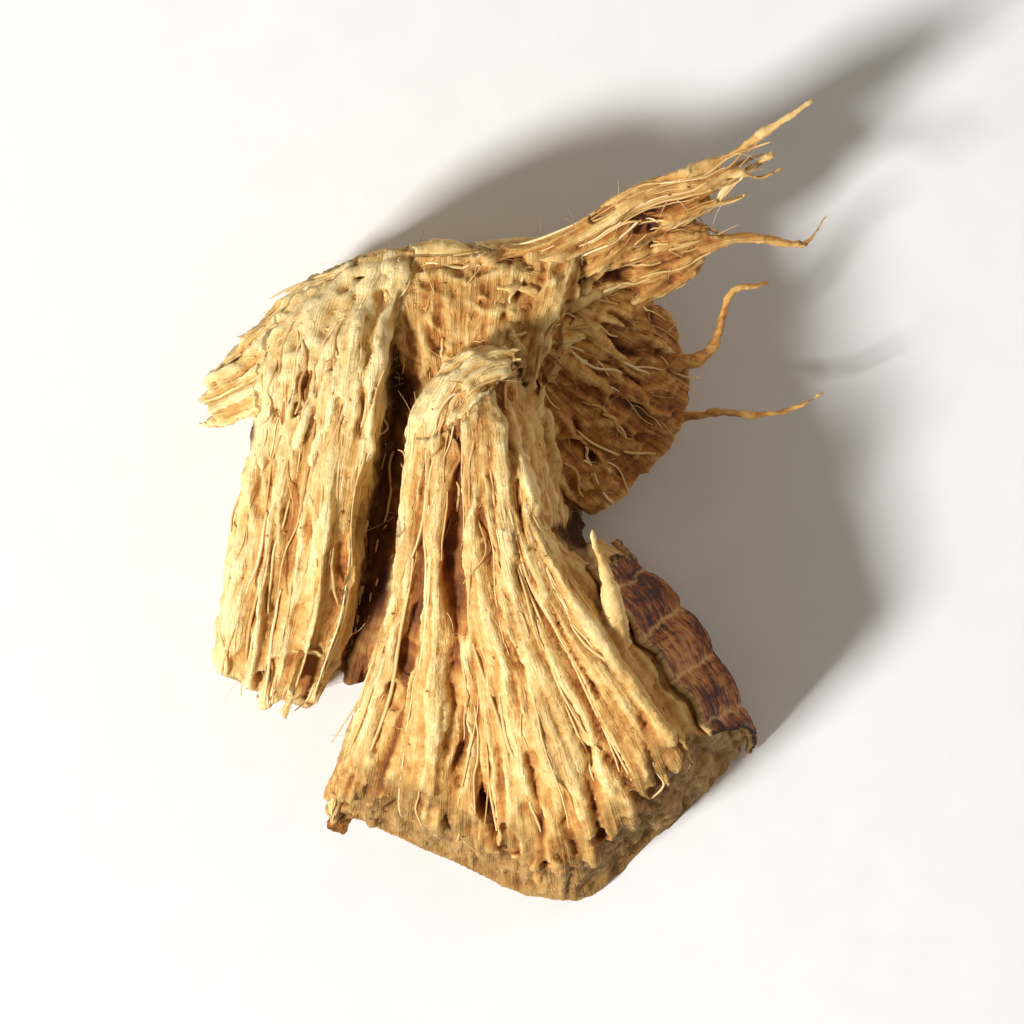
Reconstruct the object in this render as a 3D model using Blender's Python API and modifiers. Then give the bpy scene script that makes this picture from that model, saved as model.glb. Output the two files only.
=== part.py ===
# A chip of dried galangal root, as cut and sifted for tea and for the kitchen.
#
# The chip is one piece of rhizome, split off along the grain. Its wood is a mass of stiff fibres
# that all start near a ridge at the back. A fan of them runs forwards on the right, a narrower fan
# on the left with a deep cleft between the two, and a frayed tail runs back to the right. The rest
# falls away on both sides, and a low web of wood closes the cleft underneath. The right fan's outer
# side still carries the root's brown skin.
#
# Each of these is a bundle: a core with one fibre along each of its ridges. Cores and fibres are
# fused into one body, which a knife has cut at the front and flat underneath.

import math
import random

import bmesh
import bpy
from mathutils import Vector

# Driving dimensions in millimetres. The scene itself is in metres.
MM = 0.001
TO_BOX_MIDDLE = Vector((-0.26, 0.06, 0.0))
FUSING_VOXEL = 0.12
FINISHED_TRIANGLES = 10400
CUTTER_SIZE = 40.0

# How a bundle is filled: its fibres' girth against their spacing, and its core's place under them.
FIBRE_TO_SPACING = 0.50
THINNEST_FIBRE = 0.16
THICKEST_FIBRE = 0.42
CORE_INSET = 0.24
STEPS_ALONG_A_FIBRE = 18
STEPS_ALONG_A_CORE = 14
STEPS_ACROSS_A_CORE = 8
STEPS_DOWN_A_CORE = 4
TUBE_ROUNDNESS = 1

# A bundle's rails run from the ridge outwards, (x, y, z), and its top lies between them. At
# floor, the foot of each side stands off its rail by the x and y in feet. crown bows the top up
# between the rails, and tip_bow bows its far end out. ridges lists the top's fibres: how far
# across each lies, how far it stands up, and where along the bundle it starts. side_rows is how
# many lie down the left and the right side. Torn fibres stop short by up to ragged, and grow
# thinner by taper; core_end is where the core itself stops.
BUNDLES = {
    "right fan": {
        "left": [(-0.8, 2.4, 4.1), (-1.4, 1.1, 4.6), (-1.8, -1.3, 3.9), (-2.7, -4.4, 2.6), (-4.2, -8.3, 1.3)],
        "right": [(0.0, 2.75, 4.4), (0.35, 0.9, 5.2), (1.0, -1.1, 5.0), (3.0, -4.0, 3.9), (5.6, -8.3, 2.2)],
        "feet": ((0.2, 0.0), (0.75, 0.3)),
        "floor": -0.6,
        "crown": 0.4,
        "tip_bow": (0.0, 0.0),
        "ridges": [
            (0.03, -0.05, 0.0),
            (0.14, -0.30, 0.3),
            (0.26, 0.16, 0.0),
            (0.49, 0.12, 0.0),
            (0.58, -0.04, 0.35),
            (0.67, 0.12, 0.1),
            (0.77, -0.06, 0.4),
            (0.87, 0.05, 0.15),
            (0.98, 0.22, 0.0),
        ],
        "side_rows": (5, 5),
        "ragged": 0.0,
        "taper": 0.0,
        "core_end": 1.0,
        "seed": 11,
    },
    "left fan": {
        "left": [(-3.3, 4.0, 3.0), (-4.0, 2.4, 3.4), (-4.5, 0.4, 3.1), (-4.9, -1.6, 2.6), (-5.1, -3.2, 2.1)],
        "right": [(-2.0, 4.4, 3.6), (-2.2, 2.5, 4.2), (-2.5, 0.3, 4.0), (-2.8, -1.9, 3.1), (-3.5, -4.0, 2.2)],
        "feet": ((-0.1, 0.1), (-0.25, 0.3)),
        "floor": -0.5,
        "crown": 0.15,
        "tip_bow": (0.0, -0.15),
        "ridges": [
            (0.03, -0.05, 0.0),
            (0.28, 0.15, 0.0),
            (0.47, -0.25, 0.35),
            (0.72, 0.22, 0.0),
            (0.97, -0.1, 0.1),
        ],
        "side_rows": (4, 4),
        "ragged": 0.07,
        "taper": 0.0,
        "core_end": 0.96,
        "seed": 23,
    },
    "shoulder": {
        "left": [(-1.9, 4.5, 3.5), (-3.3, 4.1, 3.3), (-4.3, 3.3, 2.9), (-5.1, 2.5, 2.2)],
        "right": [(-2.7, 2.6, 3.4), (-3.8, 2.2, 3.2), (-4.7, 1.7, 2.7), (-5.5, 1.5, 2.1)],
        "feet": ((0.0, -0.1), (0.2, 0.3)),
        "floor": 0.4,
        "crown": 0.2,
        "tip_bow": (-0.25, 0.0),
        "ridges": [
            (0.03, 0.0, 0.0),
            (0.3, 0.12, 0.0),
            (0.55, -0.2, 0.2),
            (0.78, 0.15, 0.0),
            (0.98, -0.1, 0.0),
        ],
        "side_rows": (4, 3),
        "ragged": 0.16,
        "taper": 0.2,
        "core_end": 0.86,
        "seed": 31,
    },
    "ridge": {
        "left": [(-3.2, 4.15, 3.1), (-1.8, 4.6, 3.5), (-0.2, 4.6, 3.6), (1.7, 4.6, 3.3)],
        "right": [(-2.4, 1.0, 1.9), (-1.2, 1.2, 2.2), (0.2, 1.2, 2.4), (1.6, 1.6, 2.1)],
        "feet": ((0.1, -0.2), (0.0, 0.2)),
        "floor": -0.5,
        "crown": 0.25,
        "tip_bow": (0.2, 0.0),
        "ridges": [
            (0.02, 0.0, 0.0),
            (0.22, 0.15, 0.0),
            (0.42, -0.1, 0.2),
            (0.6, 0.1, 0.0),
            (0.8, 0.0, 0.1),
        ],
        "side_rows": (5, 0),
        "ragged": 0.1,
        "taper": 0.0,
        "core_end": 0.95,
        "seed": 43,
    },
    "upper tail": {
        "left": [(-1.0, 4.5, 3.4), (0.8, 4.85, 3.7), (2.4, 5.75, 4.1), (3.7, 6.1, 4.2), (4.9, 6.75, 4.3)],
        "right": [(-0.4, 3.7, 3.1), (1.2, 4.2, 3.2), (2.5, 4.9, 3.4), (3.5, 5.25, 3.5), (4.7, 5.7, 3.6)],
        "feet": ((0.1, -0.3), (-0.1, 0.2)),
        "floor": 2.6,
        "crown": 0.15,
        "tip_bow": (0.0, 0.0),
        "ridges": [
            (0.02, 0.0, 0.0),
            (0.3, 0.12, 0.0),
            (0.55, -0.12, 0.0),
            (0.8, 0.1, 0.0),
            (0.99, -0.05, 0.0),
        ],
        "side_rows": (2, 2),
        "ragged": 0.22,
        "taper": 0.45,
        "core_end": 0.72,
        "seed": 59,
    },
    "lower tail": {
        "left": [(0.4, 4.1, 3.1), (1.8, 4.7, 3.2), (2.9, 5.1, 3.2), (4.1, 5.2, 3.1)],
        "right": [(0.9, 3.2, 2.8), (1.9, 3.6, 2.7), (2.9, 3.9, 2.6), (4.1, 4.7, 2.8)],
        "feet": ((0.0, -0.2), (-0.2, 0.2)),
        "floor": 1.7,
        "crown": 0.15,
        "tip_bow": (0.1, 0.0),
        "ridges": [(0.04, 0.0, 0.0), (0.32, 0.1, 0.0), (0.62, -0.1, 0.1), (0.95, 0.05, 0.0)],
        "side_rows": (1, 2),
        "ragged": 0.18,
        "taper": 0.4,
        "core_end": 0.8,
        "seed": 61,
    },
    "web": {
        "left": [(-2.7, 2.6, 2.6), (-2.9, 0.6, 2.1), (-3.1, -1.4, 1.7), (-3.3, -3.0, 1.2)],
        "right": [(-1.0, 2.6, 2.6), (-1.4, 0.6, 2.3), (-1.8, -1.4, 2.0), (-2.4, -3.4, 1.5)],
        "feet": ((0.0, 0.0), (0.0, 0.0)),
        "floor": -0.5,
        "crown": 0.0,
        "tip_bow": (0.0, 0.0),
        "ridges": [(0.3, 0.0, 0.0), (0.7, 0.1, 0.0)],
        "side_rows": (0, 0),
        "ragged": 0.1,
        "taper": 0.0,
        "core_end": 0.95,
        "seed": 83,
    },
    "flank": {
        "left": [(-0.2, 4.3, 3.3), (1.3, 4.2, 3.1), (2.5, 3.8, 2.5), (3.2, 3.4, 1.8)],
        "right": [(-0.2, 2.9, 3.2), (0.4, 1.7, 2.8), (1.0, 0.6, 2.1), (1.7, -0.2, 1.4)],
        "feet": ((-0.1, -0.3), (-0.1, 0.3)),
        "floor": -0.4,
        "crown": 0.2,
        "tip_bow": (0.95, -0.1),
        "ridges": [
            (0.02, 0.0, 0.0),
            (0.18, 0.1, 0.0),
            (0.34, -0.12, 0.2),
            (0.5, 0.12, 0.0),
            (0.66, -0.05, 0.3),
            (0.82, 0.1, 0.0),
            (0.98, 0.0, 0.0),
        ],
        "side_rows": (3, 3),
        "ragged": 0.14,
        "taper": 0.2,
        "core_end": 0.94,
        "seed": 67,
    },
}

# The skin is a thin sheet on the right fan's outer side. Its top rail lies just under the fan's
# rim and its foot rail near the ground, and the rings of the old root cross it.
SKIN = {
    "top": [(1.15, -0.9, 4.7), (2.35, -2.5, 4.15), (3.45, -4.0, 3.55), (4.35, -5.6, 3.0)],
    "foot": [(1.75, -0.6, 0.2), (3.2, -1.9, 0.15), (4.25, -3.7, 0.15), (4.7, -5.5, 0.2)],
    "bulge": 0.30,
    "thickness": 0.5,
    "rings": 6,
    "ring_height": 0.10,
    "steps_along": 36,
    "steps_down": 10,
}

# Single fibres that stand clear of the bundles: their points, and their radius at the root.
SPLINTERS = {
    "standing splinter": {
        "points": [(2.15, -2.5, 4.2), (1.95, -1.4, 4.9), (1.65, -0.4, 5.4)],
        "root": 0.34,
    },
    "longest tail fibre": {
        "points": [(2.6, 5.6, 4.0), (4.1, 6.35, 4.2), (5.65, 7.32, 4.5)],
        "root": 0.30,
    },
    "short tail fibre": {
        "points": [(2.6, 5.2, 3.8), (3.9, 5.8, 3.9), (4.95, 6.37, 4.0)],
        "root": 0.28,
    },
    "hooked tail fibre": {
        "points": [(3.0, 4.7, 3.0), (4.4, 4.9, 3.0), (5.5, 4.8, 2.9), (5.95, 5.3, 3.1)],
        "root": 0.26,
    },
    "looping side fibre": {
        "points": [(3.0, 2.6, 2.0), (3.85, 2.9, 2.2), (4.2, 3.9, 2.5), (4.95, 4.1, 2.4)],
        "root": 0.26,
    },
    "straight side fibre": {
        "points": [(2.7, 1.7, 1.5), (3.9, 1.72, 1.4), (5.15, 1.75, 1.4), (5.95, 2.1, 1.6)],
        "root": 0.26,
    },
}
SPLINTER_TIP = 0.10

# Knife cuts: a point on each cut, the direction that its cut face looks in.
KNIFE_CUTS = {
    "front left cut": {"point": (-1.6, -6.4, 0.0), "facing": (-0.39, -0.87, 0.28)},
    "front right cut": {"point": (2.9, -6.3, 0.0), "facing": (0.66, -0.70, 0.26)},
    "front tip cut": {"point": (0.9, -7.42, 0.0), "facing": (0.05, -0.96, 0.30)},
    "flat underside": {"point": (0.0, 0.0, 0.0), "facing": (0.0, 0.0, -1.0)},
}


def clear_the_scene():
    for thing in list(bpy.data.objects):
        bpy.data.objects.remove(thing)


def new_collection(name):
    collection = bpy.data.collections.new(name)
    bpy.context.scene.collection.children.link(collection)
    return collection


def clamped(value, low, high):
    return min(max(value, low), high)


def rail_point(rail, share):
    # A smooth curve through the rail's points, read at a share of its length from 0 to 1.
    spans = len(rail) - 1
    place = clamped(share, 0.0, 1.0) * spans
    span = min(int(place), spans - 1)
    t = place - span
    p1, p2 = Vector(rail[span]), Vector(rail[span + 1])
    p0 = Vector(rail[span - 1]) if span > 0 else p1 * 2 - p2
    p3 = Vector(rail[span + 2]) if span + 2 <= spans else p2 * 2 - p1
    return 0.5 * (
        p1 * 2
        + (p2 - p0) * t
        + (p0 * 2 - p1 * 5 + p2 * 4 - p3) * t**2
        + (p1 * 3 - p0 - p2 * 3 + p3) * t**3
    )


def arch(share):
    return math.sin(math.pi * clamped(share, 0.0, 1.0))


def bundle_point(bundle, across, down, share):
    # across runs from the left rail to the right one, down from the top to the floor.
    left, right = rail_point(bundle["left"], share), rail_point(bundle["right"], share)
    left_foot, right_foot = bundle["feet"]
    left += Vector((*left_foot, 0.0)) * down
    right += Vector((*right_foot, 0.0)) * down
    point = left.lerp(right, across)
    point += Vector((*bundle["tip_bow"], 0.0)) * arch(across) * share**2
    point.z += bundle["crown"] * arch(across) * math.sqrt(arch(share))
    point.z += (bundle["floor"] - point.z) * down
    return point


def fibre_radius(bundle, share):
    width = rail_point(bundle["left"], share) - rail_point(bundle["right"], share)
    spacing = width.length / len(bundle["ridges"])
    radius = clamped(FIBRE_TO_SPACING * spacing, THINNEST_FIBRE, THICKEST_FIBRE)
    return radius * (1 - bundle["taper"] * share)


def one_fibre(bundle, across, down, lift, start, chance):
    # A list of (point, radius) from the root to the tip, wandering a little as it goes.
    end = 1 - chance.uniform(0, bundle["ragged"])
    wander = chance.uniform(-0.03, 0.03)
    wave = chance.uniform(0, 2 * math.pi)
    girth = chance.uniform(0.85, 1.2)
    fibre = []
    for step in range(STEPS_ALONG_A_FIBRE + 1):
        share = start + (end - start) * step / STEPS_ALONG_A_FIBRE
        shifted = across + wander * math.sin(wave + share * 7)
        point = bundle_point(bundle, shifted, down, share)
        point.z += lift * math.sqrt(share)
        fibre.append((point, fibre_radius(bundle, share) * girth))
    return fibre


def fibres_of(bundle):
    chance = random.Random(bundle["seed"])
    fibres = [one_fibre(bundle, across, 0.0, lift, start, chance) for across, lift, start in bundle["ridges"]]
    for across, rows in zip((0.0, 1.0), bundle["side_rows"]):
        for row in range(rows):
            down = (row + chance.uniform(0.75, 1.0)) / rows
            fibres.append(one_fibre(bundle, across, down, 0.0, chance.uniform(0.0, 0.2), chance))
    return fibres


def splinter_fibre(splinter):
    fibre = []
    for step in range(STEPS_ALONG_A_FIBRE + 1):
        share = step / STEPS_ALONG_A_FIBRE
        radius = splinter["root"] + (SPLINTER_TIP - splinter["root"]) * share
        fibre.append((rail_point(splinter["points"], share), radius))
    return fibre


def tube_curves(name, fibres, collection):
    # One curve object whose splines are round tubes, each point with its own radius.
    curve = bpy.data.curves.new(name, "CURVE")
    curve.dimensions = "3D"
    curve.bevel_depth = MM
    curve.bevel_resolution = TUBE_ROUNDNESS
    curve.use_fill_caps = True
    for fibre in fibres:
        spline = curve.splines.new("POLY")
        spline.points.add(len(fibre) - 1)
        for knot, (point, radius) in zip(spline.points, fibre):
            knot.co = (*(point * MM), 1.0)
            knot.radius = radius
    tubes = bpy.data.objects.new(name, curve)
    collection.objects.link(tubes)
    return tubes


def loft(name, rings, collection):
    # A closed solid through rings of points, with each end closed by a fan round its middle.
    solid = bmesh.new()
    rows = [[solid.verts.new(point * MM) for point in ring] for ring in rings]
    for ring, following in zip(rows, rows[1:]):
        for index in range(len(ring)):
            beside = (index + 1) % len(ring)
            solid.faces.new((ring[index], ring[beside], following[beside], following[index]))
    for ring in (rows[0], rows[-1]):
        middle = solid.verts.new(sum((corner.co for corner in ring), Vector()) / len(ring))
        for index in range(len(ring)):
            solid.faces.new((ring[index], ring[(index + 1) % len(ring)], middle))
    bmesh.ops.recalc_face_normals(solid, faces=solid.faces)
    mesh = bpy.data.meshes.new(name)
    solid.to_mesh(mesh)
    solid.free()
    lofted = bpy.data.objects.new(name, mesh)
    collection.objects.link(lofted)
    return lofted


def core_ring(bundle, share):
    # Over the top, down the right side, back along the floor and up the left side.
    top = [(step / STEPS_ACROSS_A_CORE, 0.0) for step in range(STEPS_ACROSS_A_CORE)]
    right = [(1.0, step / STEPS_DOWN_A_CORE) for step in range(STEPS_DOWN_A_CORE)]
    floor = [(1 - step / STEPS_ACROSS_A_CORE, 1.0) for step in range(STEPS_ACROSS_A_CORE)]
    left = [(0.0, 1 - step / STEPS_DOWN_A_CORE) for step in range(STEPS_DOWN_A_CORE)]
    ring = [bundle_point(bundle, across, down, share) for across, down in top + right + floor + left]
    middle = sum(ring, Vector()) / len(ring)
    return [point + (middle - point).normalized() * CORE_INSET for point in ring]


def bundle_core(name, bundle, collection):
    shares = [bundle["core_end"] * step / STEPS_ALONG_A_CORE for step in range(STEPS_ALONG_A_CORE + 1)]
    return loft(name + " core", [core_ring(bundle, share) for share in shares], collection)


def skin_sheet(collection):
    # Each ring of the loft is one line down the outside and back up the inside.
    rings = []
    for step in range(SKIN["steps_along"] + 1):
        along = step / SKIN["steps_along"]
        top, foot = rail_point(SKIN["top"], along), rail_point(SKIN["foot"], along)
        outwards = Vector((foot.x - top.x, foot.y - top.y, 0.0)).normalized()
        ringed = SKIN["ring_height"] * abs(math.sin(math.pi * SKIN["rings"] * along))
        outside = []
        for row in range(SKIN["steps_down"] + 1):
            down = row / SKIN["steps_down"]
            outside.append(top.lerp(foot, down) + outwards * (SKIN["bulge"] * arch(down) + ringed))
        inside = [point - outwards * SKIN["thickness"] for point in reversed(outside)]
        rings.append(outside + inside)
    return loft("skin", rings, collection)


def joined_mesh(name, things):
    # The evaluated meshes of several objects in one mesh, centred in plan over the origin.
    bpy.context.view_layer.update()
    graph = bpy.context.evaluated_depsgraph_get()
    gathered = bmesh.new()
    for thing in things:
        piece = bpy.data.meshes.new_from_object(thing.evaluated_get(graph))
        gathered.from_mesh(piece)
        bpy.data.meshes.remove(piece)
    bmesh.ops.remove_doubles(gathered, verts=gathered.verts, dist=0.001 * MM)
    bmesh.ops.translate(gathered, verts=gathered.verts, vec=TO_BOX_MIDDLE * MM)
    mesh = bpy.data.meshes.new(name)
    gathered.to_mesh(mesh)
    gathered.free()
    return mesh


def fused(mesh, collection):
    # The outer surface of everything in the mesh, as one closed skin.
    rough = bpy.data.objects.new("rough chip", mesh)
    collection.objects.link(rough)
    fuse = rough.modifiers.new("fuse the fibres", "REMESH")
    fuse.mode = "VOXEL"
    fuse.voxel_size = FUSING_VOXEL * MM
    bpy.context.view_layer.update()
    graph = bpy.context.evaluated_depsgraph_get()
    skin = bpy.data.meshes.new_from_object(rough.evaluated_get(graph))
    bpy.data.objects.remove(rough)
    return largest_shell(skin)


def largest_shell(mesh):
    # Drops the walls of sealed hollows and any loose crumb, which are separate shells.
    shells = bmesh.new()
    shells.from_mesh(mesh)
    unseen = set(shells.verts)
    largest = set()
    while unseen:
        shell = {unseen.pop()}
        edge_of_shell = list(shell)
        while edge_of_shell:
            vert = edge_of_shell.pop()
            for edge in vert.link_edges:
                other = edge.other_vert(vert)
                if other in unseen:
                    unseen.remove(other)
                    shell.add(other)
                    edge_of_shell.append(other)
        largest = max(largest, shell, key=len)
    bmesh.ops.delete(shells, geom=[v for v in shells.verts if v not in largest], context="VERTS")
    shells.to_mesh(mesh)
    shells.free()
    return mesh


def cutter_box(name, cut, collection):
    # A cube whose near face lies on the cut, with the rest of it outside the finished chip.
    bpy.ops.mesh.primitive_cube_add(size=CUTTER_SIZE * MM)
    box = bpy.context.object
    box.name = name
    turn = Vector(cut["facing"]).normalized().to_track_quat("Z", "Y")
    box.rotation_mode = "QUATERNION"
    box.rotation_quaternion = turn
    point = Vector(cut["point"]) + TO_BOX_MIDDLE
    box.location = (point + turn @ Vector((0, 0, CUTTER_SIZE / 2))) * MM
    box.hide_render = True
    box.display_type = "WIRE"
    for owner in list(box.users_collection):
        owner.objects.unlink(box)
    collection.objects.link(box)
    return box


def cut_away(chip, box):
    cut = chip.modifiers.new(box.name, "BOOLEAN")
    cut.operation = "DIFFERENCE"
    cut.solver = "EXACT"
    cut.object = box


def wood_material():
    material = bpy.data.materials.new("dried galangal wood")
    material.use_nodes = True
    shader = material.node_tree.nodes["Principled BSDF"]
    shader.inputs["Base Color"].default_value = (0.60, 0.36, 0.14, 1.0)
    shader.inputs["Roughness"].default_value = 0.85
    shader.inputs["Metallic"].default_value = 0.0
    return material


def build_chip():
    clear_the_scene()
    parts = new_collection("galangal root chip")
    cutters = new_collection("cutters")
    raw = [bundle_core(name, bundle, cutters) for name, bundle in BUNDLES.items()]
    raw += [tube_curves(name, fibres_of(bundle), cutters) for name, bundle in BUNDLES.items()]
    raw.append(tube_curves("splinters", [splinter_fibre(s) for s in SPLINTERS.values()], cutters))
    raw.append(skin_sheet(cutters))
    mesh = fused(joined_mesh("galangal_chip", raw), cutters)
    for thing in raw:
        bpy.data.objects.remove(thing)

    chip = bpy.data.objects.new("galangal_chip", mesh)
    parts.objects.link(chip)
    chip.data.materials.append(wood_material())
    thin_out = chip.modifiers.new("fewer faces", "DECIMATE")
    thin_out.ratio = FINISHED_TRIANGLES / (2 * len(mesh.polygons))
    for name, cut in KNIFE_CUTS.items():
        cut_away(chip, cutter_box(name, cut, cutters))


build_chip()
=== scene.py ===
import math
import random

import bmesh
import bpy
import numpy as np
from mathutils import Matrix, Vector, noise
from mathutils.bvhtree import BVHTree
from mathutils.kdtree import KDTree


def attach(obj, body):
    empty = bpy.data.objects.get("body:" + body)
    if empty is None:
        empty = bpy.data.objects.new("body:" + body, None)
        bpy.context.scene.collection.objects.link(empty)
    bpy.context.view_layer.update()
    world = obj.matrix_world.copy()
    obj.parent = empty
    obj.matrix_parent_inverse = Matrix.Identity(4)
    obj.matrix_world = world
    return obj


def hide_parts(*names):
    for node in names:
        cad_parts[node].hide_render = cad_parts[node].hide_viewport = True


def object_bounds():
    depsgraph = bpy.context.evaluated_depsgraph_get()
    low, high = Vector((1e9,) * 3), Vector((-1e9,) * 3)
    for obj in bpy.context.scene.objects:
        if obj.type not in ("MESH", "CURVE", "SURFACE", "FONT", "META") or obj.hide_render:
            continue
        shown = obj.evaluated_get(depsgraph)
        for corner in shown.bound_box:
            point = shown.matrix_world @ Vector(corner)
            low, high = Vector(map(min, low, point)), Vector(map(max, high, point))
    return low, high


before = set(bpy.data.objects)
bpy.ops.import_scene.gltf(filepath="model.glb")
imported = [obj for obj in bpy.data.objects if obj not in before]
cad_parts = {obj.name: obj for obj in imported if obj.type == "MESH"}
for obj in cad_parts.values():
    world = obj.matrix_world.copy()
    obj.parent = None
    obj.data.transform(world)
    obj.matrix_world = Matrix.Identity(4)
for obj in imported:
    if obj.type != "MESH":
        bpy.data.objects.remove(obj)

# A chip of dried galangal root, seen from above. Shapes are worked out in millimetres, on the
# same rails as the CAD solid, and each finished mesh is brought down to metres.
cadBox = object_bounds()
mm = 0.001

chipForm = {
    "toBoxMiddle": (-0.26, 0.06, 0.0),   # the CAD solid's own shift onto the middle of its box
    "fibreToSpacing": 0.50,
    "thinnestFibre": 0.16,
    "thickestFibre": 0.42,
    "stepsAlong": 26,
    "shortRow": 12,                      # steps along a row of fibres that ends under the bark
    "risingSteps": 7,                    # and of one that comes up from under its cover
    "mostFaces": 97000,                  # four-sided faces in one piece of wood
    "seed": 5,
}
noise.seed_set(chipForm["seed"])         # or noise_vector would take its offsets from the clock

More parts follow.
